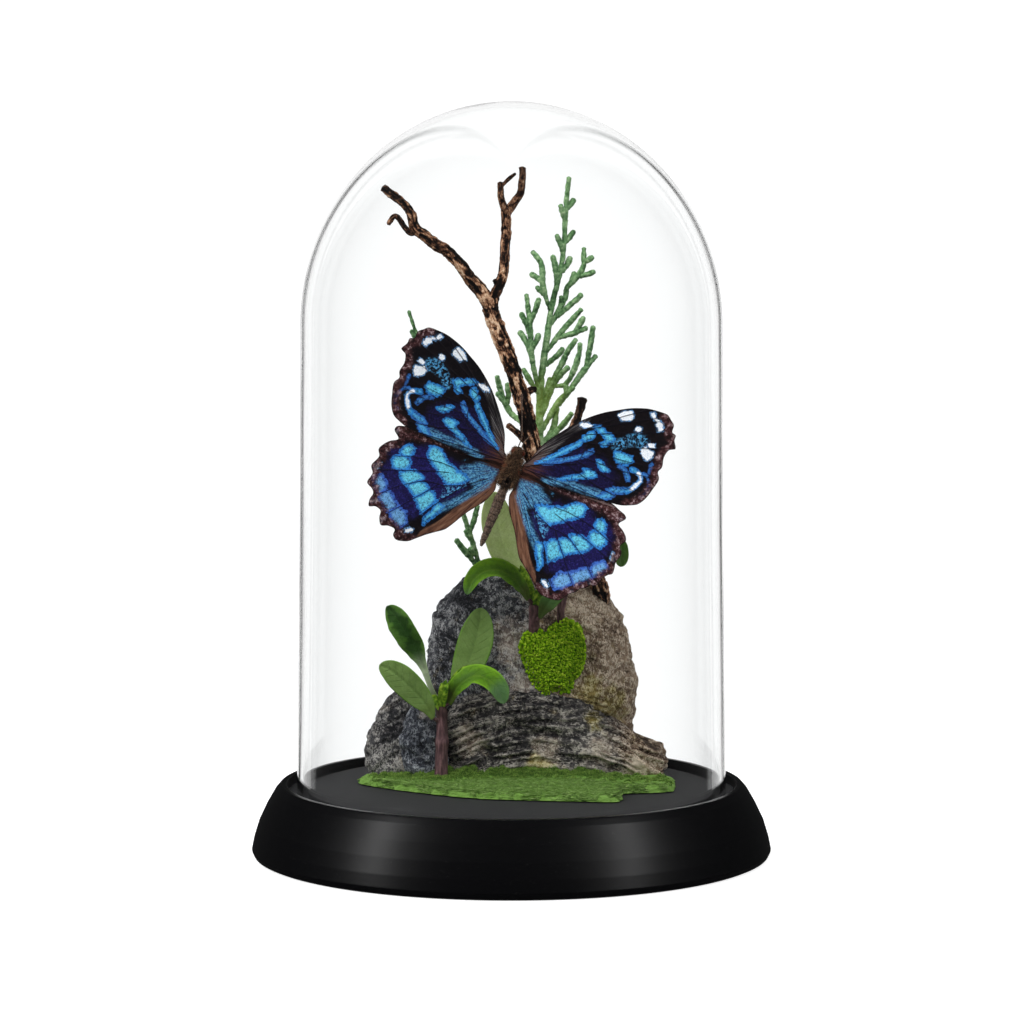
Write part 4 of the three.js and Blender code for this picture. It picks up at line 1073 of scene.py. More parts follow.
CONIFER = make_finish("scaly_shoots", conifer, Specular_IOR_Level=0.3)
make_piece(
    "tall_sprig", sprig(TALL_PATH, TALL_SHOOTS, [1.25, 1.2, 1.05, 0.85, 0.75, 0.6]), CONIFER, "conifer_green",
    "conifer_sprig_tall")
make_piece(
    "left_sprig", sprig(LEFT_PATH, LEFT_SHOOTS, [0.75, 0.65, 0.6, 0.55]), CONIFER, "conifer_green",
    "conifer_sprig_left")

# %% [markdown]
# ## Leaves
#
# Preserved leaves are thin, a little cupped and slightly crinkled. A blade is a flat loop carried along its
# midrib: the upper side runs from one edge to the other and the lower side back again. How far a point is
# along and across the blade goes with it, and the finish draws the ribs from that.

# %% Blades and petioles
def blade(midrib, half_widths, facing, cup=0.25, crinkle=0.25, blue_tip=0.0, tone=0.0, blunt=0.16, seed=1):
    """A leaf: centre + side h a + up (lift + cup h a^2 + waves), with h the half width and a from -1 to 1.

    The lift is half the thickness times sqrt(1 - a^2), up on one side and down on the other, and a shallow
    groove follows the midrib. The last blunt share of the length closes as a quarter ellipse."""
    length, turn = 80, 48
    path = smooth_path(midrib, length)
    along = unit(np.gradient(path, axis=0))
    side = unit(np.cross(along, np.asarray(facing, float)))
    up = np.cross(side, along)
    t = np.linspace(0, 1, length + 1)
    spaced = np.stack([np.linspace(0, 1, len(half_widths)), half_widths], 1)
    widths = smooth_path(spaced, 200)
    half = np.interp(t, widths[:, 0], widths[:, 1])[:, None]
    near_tip = np.clip((1 - t[:, None]) / blunt, 0, 1)
    half = np.maximum(half * np.sqrt(np.clip(1 - (1 - near_tip) ** 2, 0.004, 1)), 0.1)
    loop = np.linspace(0, 2, turn, endpoint=False)
    across = np.where(loop < 1, 1 - 2 * loop, 2 * loop - 3)[None]
    upper = np.where(loop < 1, 1, -1)[None]
    thick = 0.17 * np.sqrt(np.maximum(1 - across**2, 0))
    rib = 0.2 * np.exp(-((across * half / 0.4) ** 2)) * np.clip(half / 1.5, 0, 1)
    base = path[:, None] + side[:, None] * (half * across)[..., None]
    waves = crinkle * (layered(base, 3.6, 2, seed) + 0.35 * noise(base, 1.2, seed + 3))
    waves = waves * np.clip(half / 1.5, 0.1, 1)
    lift = upper * thick - rib + cup * half * across**2 + waves * (0.35 + 0.65 * np.abs(across))
    grid = base + up[:, None] * lift[..., None]
    size = np.linalg.norm(np.diff(path, axis=0), axis=1).sum()
    flat = 0 * across * half
    return surface(
        grid, across=across * half, edge=1 - np.abs(across) + flat, along=size * t[:, None] + flat,
        tip=blue_tip * t[:, None] + flat, tone=tone + flat)


LEAVES = {
    "front_leaf_upper": dict(
        midrib=[[-19.9, -2, 42.2], [-21.4, -3, 45.3], [-23.3, -3.5, 50.7], [-25.2, -4, 55.1], [-27.5, -5, 59.8],
                [-30.4, -5, 64.3], [-33.2, -4, 67.4]],
        half_widths=[0.7, 0.75, 0.9, 1.4, 2.7, 3.2, 3.3, 3.1, 2.9], facing=[-0.35, -1, 0.1], crinkle=0.75,
        blunt=0.2),
    "front_leaf_lower": dict(
        midrib=[[-20.9, -3.2, 37], [-22.2, -4, 40.2], [-24.9, -5, 43.7], [-28.6, -6.5, 47.7], [-32, -7.5, 50.6],
                [-35, -8, 52.2]],
        half_widths=[0.5, 1.8, 2.9, 3.5, 3.7, 3.7, 3.6, 3.5], facing=[0, -1, 0.15], cup=0.08, crinkle=0.1,
        blunt=0.36),
    "front_leaf_pale": dict(
        midrib=[[-17, -0.4, 41.4], [-14.9, 0, 45], [-11.9, 1, 50.7], [-9.9, 1.4, 56.3], [-8.7, 1.4, 61.7],
        [-8.1, 1, 66.4]],
        half_widths=[0.6, 1.6, 3.3, 4.3, 4.7, 4.7, 4.5, 4.3], facing=[0, -1, 0.1], cup=0.06, crinkle=0.08,
        blunt=0.36),
    "front_leaf_arching": dict(
        midrib=[[-16.7, -2.8, 41], [-15.4, -4.2, 44.4], [-12.9, -6, 47.4], [-9.7, -7.5, 49.2], [-6.2, -9, 48.4],
                [-3.5, -10, 46], [-1.9, -10.5, 42.2]],
        half_widths=[0.7, 1.6, 2.6, 3.1, 3.2, 3.1, 2.9, 2.6], facing=[0.15, -0.9, 0.8], cup=0.3, crinkle=0.3,
        blue_tip=1.0, blunt=0.25),
    "rear_leaf_pale": dict(
        midrib=[[5.6, 5.6, 68.4], [3.8, 5.8, 71.7], [0.4, 6, 76.7], [-1.8, 6, 81.8], [-3.3, 6, 87],
        [-4.2, 5.7, 92.3],
                [-4.4, 5, 97.2]],
        half_widths=[0.6, 1.6, 3.0, 4.0, 4.4, 4.4, 4.2, 4.0], facing=[0, -1, 0.05], cup=0.08, crinkle=0.08,
        blunt=0.3),
    "rear_leaf_arching": dict(
        midrib=[[4.6, 2.2, 68.4], [3.2, 0.9, 71.4], [0.4, -0.5, 74.6], [-3.3, -2, 76.9], [-7.3, -3, 76.7],
                [-10.2, -4, 74.4], [-11.9, -4.5, 70.6]],
        half_widths=[0.6, 1.5, 2.3, 2.9, 3.0, 2.8, 2.4, 2.1], facing=[-0.2, -0.9, 0.8], cup=0.3, crinkle=0.3,
        blue_tip=0.8, blunt=0.25),
    "rear_leaf_right": dict(
        midrib=[[7.6, 2.6, 63.4], [8.9, 1.4, 66.4], [10.7, 0.6, 69.1], [13, 0.2, 71.6], [15.4, 0.2, 74.2]],
        half_widths=[0.4, 1.4, 2.3, 2.5, 1.8, 0.6], facing=[0.2, -1, 0.3], crinkle=0.2, tone=1.0),
    "side_leaf": dict(
        midrib=[[25.2, 2.9, 83], [27.2, 2.6, 85], [28.9, 2.3, 84.5], [29.5, 2.2, 81.2], [29.3, 2.1, 77.3]],
        half_widths=[0.45, 0.5, 0.7, 1.2, 1.8, 1.9, 1.8, 1.7], facing=[0, -1, 0.1], cup=0.15, crinkle=0.15,
        tone=0.6,
        blunt=0.22),
}


def leaf_finish(t, deep, body, bright, rib_colour, rim_and_highlight_colour, stalk_colour, blotchy, ribbed, stalk_length=6.0):
    """Clouds of two greens, a thin bright rim that is partly a greener margin and partly a painted highlight
    along the edge, dark blotches away from it, and ribs if ribbed is above 0. Near the stalk of a leaf with a
    tip, deep green paints the shade under the arching blade.
    """
    place = t.place()
    across, along, edge = (t.value(name) for name in ("across", "along", "edge"))
    sideways = t.math("ABSOLUTE", across)
    rib = t.between(sideways, 0.14, 0.4, 1.0, 0.0) * ribbed
    lateral = t.math("ABSOLUTE", t.math("SINE", (along - sideways) * 1.35))
    lateral = t.between(lateral, 0.05, 0.25, 1.0, 0.0) * t.between(edge, 0.05, 0.3)
    cloud = t.noise(place, 3.0, 5.0, 0.65)
    cells = t.noise(place, 0.5, 3.0, 0.6)
    inner = edge + (cloud - 0.5) * 2.2
    inner = t.between(inner, 0.25, 0.7) * blotchy
    # The rim is a greener margin and also a painted highlight along the leaf's edge.
    rim = t.between(edge + (cloud - 0.5) * 0.3, 0.04, 0.16, 1.0, 0.0)
    colour = t.mix(t.between(cloud, 0.35, 0.65), body, bright)
    colour = t.mix(rim * 0.6, colour, rim_and_highlight_colour)
    colour = t.mix(inner, colour, deep)
    colour = t.mix(lateral * (0.3 * ribbed), colour, rib_colour)
    colour = t.mix(rib * 0.6, colour, rib_colour)
    colour = t.mix(t.value("tone") * 0.7, colour, rgb(92, 130, 76))
    # Deep green near the stalk of a leaf with a tip is painted shade under the arching blade; leaves without a
    # tip are darkened evenly by the same mix.
    colour = t.mix(t.between(t.value("tip"), 0.1, 0.5, 0.65 * blotchy, 0.0), colour, deep)
    colour = t.mix(t.between(t.value("tip"), 0.7, 0.84, 0.0, 0.8), colour, rgb(66, 98, 62))
    colour = t.mix(t.between(cells, 0.3, 0.7, 0.0, 0.18), colour, rgb(28, 48, 12))
    stalk = t.between(along, 0.5 * stalk_length, stalk_length, 0.75, 0.0)
    colour = t.mix(stalk, colour, stalk_colour)
    height = cells * 0.35 - t.math("MAXIMUM", rib, lateral * 0.6)
    return {
        "Base_Color": colour,
        "Roughness": t.between(cloud, 0.3, 0.7, 0.45, 0.65),
        "Normal": t.group(RELIEF, Height=height, Depth=0.16),
    }


# Shine, the six colours in the order of leaf_finish, and how blotchy and ribbed a leaf is.
LEAF_LOOKS = {
    "green_leaf": (0.35, "34 66 8 76 118 14 104 150 24 122 150 54 124 172 40 60 70 22", 0.6, 0.25),
    "dark_leaf": (0.35, "20 54 10 78 122 34 108 154 56 112 150 88 126 180 62 170 184 150", 0.85, 0.1, 15.0),
    "pale_leaf": (0.2, "90 116 56 104 132 68 118 146 80 128 156 96 104 150 54 96 118 56", 0.12, 0.0),
    # The last look is a lighter copy of the pale look: painted light for the rear pale leaf.
    "painted_lit_leaf": (0.2, "160 186 108 182 204 130 196 214 148 196 214 150 168 196 104 104 140 40", 0.12, 0.0),
}
leaf_finishes = {}
for leaf_look, (shine, text, *amounts) in LEAF_LOOKS.items():
    colours = [rgb(*colour) for colour in np.array(text.split(), float).reshape(6, 3)]
    leaf_finishes[leaf_look] = make_finish(
        leaf_look, lambda t: leaf_finish(t, *colours, *amounts), Specular_IOR_Level=shine)
for leaf_name, form in LEAVES.items():
    pale = leaf_name.endswith("pale") or leaf_name.endswith("lower")
    look = "pale_leaf" if pale else "dark_leaf" if leaf_name.endswith("upper") else "green_leaf"
    # The rear pale leaf takes the lighter copy of the pale look: painted light.
    look = "painted_lit_leaf" if leaf_name == "rear_leaf_pale" else look
    slot = "pale_leaf" if pale else "green_leaf"
    make_piece(leaf_name + "_blade", blade(**form), leaf_finishes[look], slot, leaf_name)

# %% [markdown]
# ## Sprout stems
#
# Smooth, purplish, and swollen where a leaf joins. Each stem carries its own bud leaves and the short
# stalks that reach the leaves, so that nothing hangs in the air.

# %% Stems
def nodes_on_stem(grid, angle, along, radius):
    swell = np.exp(-(((along - 12) / 1.2) ** 2)) + np.exp(-(((along - 20) / 1.4) ** 2))
    return 0.22 * radius * swell + 0.07 * noise(grid * [2.2, 2.2, 0.35], 1.0, 4)


def stem_piece(main, radii, stalks, buds):
    made = [tube(main, radii, sides=28, step=0.35, relief=nodes_on_stem)]
    for start, end in stalks:
        start, end = np.asarray(start, float), np.asarray(end, float)
        made.append(tube([start, (start + end) / 2, end], [0.75, 0.55, 0.5], sides=16, step=0.2))
    return merged(made + [blade(**bud) for bud in buds])


def stem_skin(t):
    place = t.place()
    streak = t.noise(place, 1.0, 4.0, 0.6, stretch=(1.6, 1.6, 0.25))
    colour = t.ramp(streak, (0.3, rgb(38, 25, 27)), (0.5, rgb(76, 54, 56)), (0.7, rgb(118, 90, 90)))
    colour = t.mix(t.between(t.value("along"), 17.0, 23.0, 0.0, 0.5), colour, rgb(44, 34, 20))
    green = t.math("MINIMUM", t.between(t.value("edge"), 0.0, 0.04), 1.0)
    leafy = t.ramp(t.noise(place, 1.3, 4.0, 0.7), (0.34, rgb(36, 66, 10)), (0.5, rgb(92, 132, 24)),
        (0.66, rgb(156, 184, 60)))
    return {
        "Base_Color": t.mix(green, colour, leafy),
        "Roughness": t.between(streak, 0.3, 0.7, 0.5, 0.7),
        "Normal": t.group(RELIEF, Height=streak, Depth=0.12),
    }


STEM_SKIN = make_finish("purple_stem", stem_skin, Specular_IOR_Level=0.3)
FORWARD = [0, -1, 0]
make_piece("front_sprout", stem_piece(
    [[-18.9, -2, 18.6], [-18.8, -2, 24], [-18.6, -1.6, 31], [-18.6, -1.4, 38], [-19, -1.6, 41]],
    [1.9, 1.75, 1.6, 1.5, 1.2],
    [[[-19, -1.6, 40], [-19.9, -2, 42.5]], [[-18.8, -1.6, 35.8], [-20.9, -3.2, 37.3]],
     [[-18.8, -1.5, 39.8], [-17, -0.4, 41.7]], [[-18.8, -1.6, 39.4], [-16.7, -2.8, 41.3]]],
    [dict(midrib=[[-18.6, -2, 39.5], [-18.2, -4.4, 44.2], [-17.4, -5, 47.8]], half_widths=[0.5, 1.2, 1.3, 0.5],
          facing=FORWARD, crinkle=0.6),
     dict(midrib=[[-18.8, -2, 39.2], [-20, -3.4, 42], [-21, -3.6, 43.6]], half_widths=[0.6, 1.1, 0.7],
     facing=FORWARD,
          crinkle=0.7),
     dict(midrib=[[-18.2, -1.6, 40], [-15.8, -2.6, 45.4], [-13, -2.4, 49.4], [-9.6, -2, 51.2]],
          half_widths=[0.6, 1.3, 1.6, 1.3, 0.6], facing=[0, -1, 0.5], crinkle=0.7, seed=5),
     dict(midrib=[[-18.8, -1.8, 40], [-18.9, -3, 44], [-18.6, -3.2, 46.8]], half_widths=[0.5, 0.9, 0.9, 0.4],
          facing=[0.6, -1, 0], crinkle=0.65, seed=7)],
), STEM_SKIN, "purple_stem", "front_sprout_stem")
make_piece("rear_sprout", stem_piece(
    [[6.1, 10, 55.6], [6.1, 6.4, 59.4], [6.1, 4.6, 63], [6.1, 3.8, 67.4]], [1.6, 1.55, 1.4, 1.1],
    [[[6.1, 4, 66.6], [5.6, 5.6, 68.7]], [[6.1, 3.9, 66.5], [4.6, 2.2, 68.7]],
    [[6.1, 4.5, 62], [7.6, 2.6, 63.7]]],
    [dict(midrib=[[5.9, 3.6, 66.2], [4.9, 2.6, 71.1], [3.6, 2.2, 74.4], [2.4, 2.2, 77.7]],
          half_widths=[0.6, 1.3, 1.4, 0.5], facing=FORWARD, crinkle=0.6),
     dict(midrib=[[6.3, 3.4, 66], [7.4, 2.2, 70.4], [8.4, 1.8, 73.6]], half_widths=[0.6, 1.2, 1.2, 0.5],
          facing=[0.3, -1, 0], crinkle=0.65, seed=5),
     dict(midrib=[[5.8, 3.4, 67], [3.4, 2.6, 73], [0.4, 2.4, 76.6], [-3.6, 2, 78.6]],
     half_widths=[0.5, 1.1, 1.5, 1.2, 0.5],
          facing=[0, -1, 0.5], crinkle=0.7, seed=6)],
), STEM_SKIN, "purple_stem", "rear_sprout_stem")
make_piece("side_sprout", stem_piece(
    [[13.4, 10.4, 56.8], [13.3, 6.6, 61.5], [13.6, 5.2, 67.4], [17, 4.2, 74.4], [21.4, 3.4, 80], [25, 3, 82.8]],
    [1.2, 1.1, 0.9, 0.7, 0.6, 0.45], [[[24.6, 3, 82.5], [25.5, 2.9, 83.4]]], [],
), STEM_SKIN, "purple_stem", "side_sprout_stem")

# %% [markdown]
# ## The butterfly's body
#
# The insect is modelled flat, with u to its right, v towards its head and w out of its back, and then put
# on the twig by one rotation. The body is a loop of half widths and half heights. Nine rings mark the
# abdomen, the pin left a small pit in the thorax, and thousands of fine hairs cover the thorax and head.

# %% Placing the insect, and its body
LEAN, RAISE = np.radians(21.5), np.radians(9)
INSECT_AXES = np.array([[np.cos(LEAN), 0, -np.sin(LEAN)], [np.sin(LEAN), 0, np.cos(LEAN)], [0, -1, 0]])


def on_twig(points):
    """World place = body centre + u, v and w times the insect's three axes."""
    return points @ INSECT_AXES + [-0.2, -13, 104.2]


SECTIONS = np.array([
    [-21.3, 0.3, 0.3], [-20, 0.75, 0.7], [-17.5, 0.95, 0.9], [-14, 1.2, 1.15], [-10, 1.4, 1.35],
    [-6.5, 1.25, 1.3], [-4.9, 1, 1.1], [-3.8, 1.75, 1.6], [-1.5, 2.1, 1.9], [1, 2.1, 1.95],
    [3.2, 1.6, 1.6], [4.1, 1.05, 1.1], [4.9, 1.45, 1.3], [5.9, 1.4, 1.25], [6.8, 0.5, 0.5],
])
sections = smooth_path(SECTIONS, 260)
angle = np.linspace(0, 2 * np.pi, 56, endpoint=False)
v = sections[:, :1] + 0 * angle
ringed = np.clip(0.5 - np.abs((v + 21.3) / 1.82 % 1 - 0.5), 0, 0.16) / 0.16
segment = np.where(v < -4.9, 1 - ringed, 0.0)
swell = 1 - 0.11 * segment
body_grid = np.stack([sections[:, 1:2] * np.cos(angle) * swell, v, sections[:, 2:] * np.sin(angle) * swell], -1)
pit = np.clip(1.25 - np.hypot(body_grid[..., 0] - 0.1, v + 2.8) / 0.62, 0, 1) * (np.sin(angle) > 0.2)
body_grid[..., 2] -= 1.1 * pit**0.5
body_grid = body_grid + normals_of(body_grid) * 0.05 * noise(body_grid, 0.5, 2)[..., None]
thorax = np.clip((v + 5.4) / 0.8, 0, 1)
body = surface(on_twig(body_grid), segment=segment, pit=pit, hairy=thorax, eye=0 * v)


def ball(centre, radius, **values):
    """An egg about centre: rows from pole to pole, columns round."""
    up = np.linspace(0.03, np.pi - 0.03, 20)[:, None]
    turn = np.linspace(0, 2 * np.pi, 28, endpoint=False)
    grid = np.stack([np.sin(up) * np.cos(turn), np.sin(up) * np.sin(turn), np.cos(up) + 0 * turn], -1)
    flat = {name: value + 0 * grid[..., 0] for name, value in values.items()}
    return surface(on_twig(np.asarray(centre) + grid * radius), **flat)


eyes = [ball([side * 1.15, 5.4, 0.4], [0.72, 0.8, 0.75], eye=1.0) for side in (-1, 1)]
LEGS = [
    [[1.2, 2.6, -0.9], [1.9, 3.9, -2.6], [2.4, 4.6, -5]],
    [[1.2, 0.6, -0.9], [2.2, 0.4, -3], [3.1, 0.6, -5.6]],
    [[1, -1.6, -0.9], [2.2, -2.6, -2.8], [4.4, -4, -6.4]],
    [[-1, 2, -0.9], [-1.3, 4.4, -2.6], [0.2, 6.6, -4.4]],
    [[-1, -2.4, -0.9], [-0.6, -4, -3.2], [1.8, -5, -5.6]],
]
ANTENNAE = [
    [[-0.5, 6, 0.4], [-0.6, 9.4, 1], [-2.5, 14.5, 1.4], [-4.8, 20.2, 1.6]],
    [[0.5, 6, 0.4], [0.5, 8.6, 1], [1.7, 11.2, 1.2]],
]
limbs = [tube(on_twig(np.array(p)), [0.3, 0.22, 0.15], sides=10, step=0.25) for p in LEGS]
limbs += [tube(on_twig(np.array(ANTENNAE[0])), [0.15] * 9 + [0.2, 0.36, 0.3], sides=12, step=0.2)]
limbs += [tube(on_twig(np.array(ANTENNAE[1])), [0.15, 0.14, 0.13], sides=12, step=0.2)]

random = np.random.default_rng(31)
FUR_HAIRS, SIDE_HAIRS = 5200, 2600
row = np.interp(random.random(FUR_HAIRS) ** 0.9, [0, 0.16, 1], [60, 178, 255]).astype(int)
column = random.integers(0, 56, FUR_HAIRS)
keep = pit[row, column] < 0.05
row, column = row[keep], column[keep]
roots = body_grid[row, column]
hair_way = normals_of(body_grid)[row, column]
hair_way = hair_way * np.sign((hair_way * (roots * [1, 0, 1])).sum(1, keepdims=True))
long_hair = np.where(v[row, column] > -5, 0.85, 0.35) * (0.5 + 0.8 * random.random(len(row)))
hair_way = hair_way * 0.8 + [0, -0.75, 0] + 0.5 * (random.random((len(row), 3)) * 2 - 1)
tips = roots + unit(hair_way) * long_hair[:, None]
hair = spikes(on_twig(roots), on_twig(tips), 0.07, hairy=np.ones(len(row)), shade=random.random(len(row)))
side = np.where(random.random(SIDE_HAIRS) < 0.5, -1, 1)
root_v = -3.6 + 7.4 * random.random(SIDE_HAIRS)
tuft_roots = np.c_[side * (1.2 + 0.6 * random.random(SIDE_HAIRS)), root_v,
    0.7 + 0.8 * random.random(SIDE_HAIRS)]
fan = np.c_[side * (0.4 + 1.1 * random.random(SIDE_HAIRS) ** 2),
    0.4 * (root_v - 0.5) * random.random(SIDE_HAIRS), 0.25 * random.random(SIDE_HAIRS)]
tuft_tips = tuft_roots + fan
red = np.clip(1.2 - np.abs(root_v - 0.6) / 1.3, 0, 1) * (random.random(SIDE_HAIRS) < 0.2)
tuft = spikes(on_twig(tuft_roots), on_twig(tuft_tips), 0.065, hairy=np.ones(SIDE_HAIRS), red=red,
    shade=random.random(SIDE_HAIRS))


def insect_skin(t):
    place = t.place()
    fine = t.noise(place, 0.35, 4.0, 0.7)
    brown = t.ramp(fine, (0.32, rgb(34, 26, 23)), (0.5, rgb(82, 66, 57)), (0.68, rgb(142, 122, 106)))
    hair_colour = t.ramp(
        fine * 0.5 + t.value("shade") * 0.5,
        (0.25, rgb(26, 18, 14)), (0.5, rgb(84, 62, 46)), (0.8, rgb(160, 126, 96)))
    colour = t.mix(t.value("hairy"), brown, hair_colour)
    colour = t.mix(t.value("segment") * 0.8, colour, rgb(22, 16, 14))
    colour = t.mix(t.value("red") * 0.85, colour, rgb(164, 76, 44))
    colour = t.mix(t.value("eye"), colour, t.mix(fine, rgb(60, 22, 14), rgb(120, 48, 26)))
    # The pit is painted near black: painted shade inside the pin hole.
    colour = t.mix(t.between(t.value("pit"), 0.1, 0.5), colour, rgb(10, 7, 6))
    return {
        "Base_Color": colour,
        "Roughness": 0.75 - t.value("eye") * 0.45,
        "Normal": t.group(RELIEF, Height=fine, Depth=0.12),
    }


INSECT = make_finish("insect_skin", insect_skin, Specular_IOR_Level=0.3)
make_piece(
    "insect_body", merged([body, *eyes, *limbs, hair, tuft]), INSECT, "insect_brown", "butterfly_body")

# %% [markdown]
# ## Wings
#
# A wing is a fan from its root to its scalloped edge, as a closed skin a sixth of a millimetre thick. Each
# marking is a listed outline. Instead of painting, every point stores how deep it lies inside the
# nearest marking of each colour, in millimetres. The finish turns that depth into a mask with an edge as
# ragged as rows of scales, so markings stay crisp at any size.

# %% Outlines and markings
def pairs(text):
    """Places from a plain list of numbers, two by two."""
    return np.array(text.split(), float).reshape(-1, 2)


FOREWING = pairs(
    "2.5 3.4 3.3 4.3 4.9 9 7.3 12.9 9.6 16.1 11.7 18.7 14.1 21.1 17 23.5 20 25.4 22.5 26.9 25 28 27.5 "
    "28.8 30 29.1 "
    "32.5 29.1 33.7 28.2 34.9 27.2 35.2 25.3 36.3 24.9 36.5 23.5 37.5 21.6 36.2 20.8 35.6 18.5 36.1 15.8 "
    "35.6 14.3 "
    "36.5 12.7 36 9.5 35.2 6.6 33.8 4.4 32 3.4 30 2.6 27.5 2.2 23.8 1.9 19.4 1.2 15 0.8 10 0.45 5.7 1 2.5 1.2")
HINDWING_TOP = "2.5 0.9 5 2.4 12 3.2 20 3 27.75 2.1 30 1.25 32 0.5 "
HINDWING_INNER = (
    " 19.5 -27.25 18.25 -26.75 16.5 -25.25 14.5 -23.5 12.5 -22 10.5 -20.5 9 -18.25 7.75 -16 6.5 -14 5 "
    "-12 3.5 -10 "
    "2.4 -7.5 2 -6 2.25 -4.25")
RIGHT_HINDWING = pairs(
    HINDWING_TOP + "32.5 -0.25 31.25 -2.25 33 -3.5 34.25 -4.75 34.6 -5.75 33.75 -7.5 34.75 -9 34.75 -10 "
    "34.25 -12 "
    "34.5 -13.5 34.5 -15 33.5 -15.75 32.5 -17.25 31.5 -19.75 30.25 -19.9 29.5 -21 28.25 -21.75 27.5 -23 "
    "26 -24.25 "
    "24.5 -26.5 23.25 -27.1" + HINDWING_INNER)
LEFT_HINDWING = pairs(
    HINDWING_TOP + "32.3 -0.6 30.5 -2.5 32.6 -4 34.3 -6.7 33.5 -8.5 34.5 -11.5 33.5 -13.25 33.9 -16 32 "
    "-17.25 31.4 -18.25 "
    "31.7 -20 31.2 -21.7 29.6 -21.2 28 -21.75 27.6 -23.6 26.5 -25.3 24.6 -24.8 22.75 -25.1 22.6 -26.6 "
    "21.5 -27.5"
    + HINDWING_INNER)

# Each colour has closed outlines, and open lines with half a width in front of them.
FORE_MARKS = {
    "white": (
        ["28.3 27.9 28.6 27.4 29.5 26.6 30.7 26.5 31.3 26.9 30.4 27.1 29.8 27.6 29.2 28.3",
         "30.9 26.4 32 26.3 32.4 25.05 31.7 24.7 30.9 25.6",
         "20.8 24.4 22 25.7 23.7 26.4 24.5 25.05 24.4 24.3 22.9 23.9 22 23.6",
         "26.15 22.7 26.4 23.15 26.9 23.3 27.4 23.15 27.65 22.7 27.4 22.25 26.9 22.1 26.4 22.25",
         "12.4 18.2 12.8 18.9 14.1 19.3 15.2 18.9 14.1 18.5 13.3 18.1",
         "29.6 18.2 30.4 19 32.5 18.7 32.7 17.2 32 16.2 30.7 16.6 29.9 17.4",
         "30.7 20.3 32 20.4 32.5 19.8 31.2 19.5"],
        [(0.3, "31.2 12 32.1 11.1 32.3 10.3 31.5 8.7 31 7.4")]),
    "cyan": (
        ["16.2 19.3 17.3 19.7 18.1 19.8 19.4 18.7 20.7 19 22 18.2 21.9 17.4 20.8 16.6 20.8 15.6 19.9 "
        "15.2 19.1 15.8 19.9 16.4 "
         "19.9 17.2 18.1 18.2 16.6 18.7",
         "15.2 17.2 16.2 17.9 17 16.9 16.6 15.8 15.2 14.8 14.2 14.9 14.1 15.8 14.9 16.4",
         "13.8 14.4 14.6 14.3 14.5 13.2 12.8 11.4 11.2 9.5 9.6 7.9 8.1 6.4 6.2 4.8 5.2 4.5 7 6.6 8.6 8.2 "
         "10.2 10.1 12 12.2 13.3 13.5",
         "17.4 7.7 18.8 8.2 20.4 8.2 21.3 7.4 20.7 6.6 18.8 5.6 17 4.7 15.4 3.9 13.8 3.1 12 2.7 12.8 3.5 "
         "14.9 4.8 16.5 5.8 17.8 6.9",
         "19.6 11.4 20.9 11.5 22.3 10.8 24.1 9.8 23.6 9.3 22.3 9 21.5 9.4 20.2 10.2",
         "23.3 15.1 24.9 15.6 28.1 15.6 28.6 14 27.3 12.9 24.9 12.6 23.6 13.2"],
        [(0.5, "29.3 12.5 31 12.1 32.1 11.1 32.3 10.3 31.5 8.7 31 7.4 29.9 6.6")]),
    "blue": (
        ["17.8 13.3 18.2 12.9 17.5 11.6 16.5 10.8 15.2 9.8 13.3 8.5 11.2 7.2 9.1 6.1 7.5 5.3 9.6 6.9 "
        "11.7 8.5 13.8 9.9 15.4 11 "
         "16.6 12.2", "24.9 5.1 26.2 6.4 28.1 6.7 29.9 7.2 30.9 7.4 30.2 6.4 29.1 5.6 27.3 4.9 25.4 4.8",
         "23.3 2.4 24.4 3.7 25.9 4.5 27.3 4.3 26.7 3.2 25.4 2.4 23.8 2.2",
         "25.4 12 26.7 12.2 27.8 11.6 29.1 10.6 29.6 9.5 29 9.1 28 10.3 27.3 11.4"],
        [(0.22, "32.3 12.4 33.3 12.2 34.4 11.1 34.9 9.8 34.8 8.5 34.4 7.2 33.6 6.4"),
        (0.15, "33.3 15.8 33.6 13.2")]),
    "teal": (
        ["8.6 1.1 10.2 1.9 12.8 2.6 14.9 2.9 16.5 3.4 14.1 1.9 11.7 1.1 9.6 0.7",
        "15 2 24 2.2 23.4 3.5 18 3.2"],
        []),
    "mottle": (
        ["22.8 15.8 25.4 17.4 28.2 19.8 28.6 21.2 27.4 21.6 25.6 20.4 24 18.4 22.4 17"],
        [(0.5, "28.6 19.4 29.6 20.8")]),
    "violet": (["4 2 10 9 15 13.5 21 12.5 26 10 27 5 22 3 12 1.5"], []),
    "brown": (["2.6 3.4 5.2 9 9.8 16.2 14.2 21 13.9 18.8 10.3 13.2 7 7.4 4.6 3.6"], []),
    "vein": ([], [
        (0, "3 3.5 6 9 10 13.5 14 17.5 22 24.5 27.5 28.5"),
        (0, "3.2 2.6 7 5 11 6.5 15 8.2 15.8 11 16 14 14 17.5"),
        (0, "14 17.5 24 23.5 32.5 28.6"), (0, "15 16.5 26 21.5 35 25"), (0, "16 14.5 27 17.5 37 21.3"),
        (0, "16 12.5 27 13.8 35.8 15"), (0, "15.6 10.5 26 10.8 36.3 12.6"), (0, "15.2 9 24 8 35 7"),
        (0, "13 7.2 22 4.9 32.5 3.8"), (0, "3.2 2 12 2.2 26 2.2")]),
}
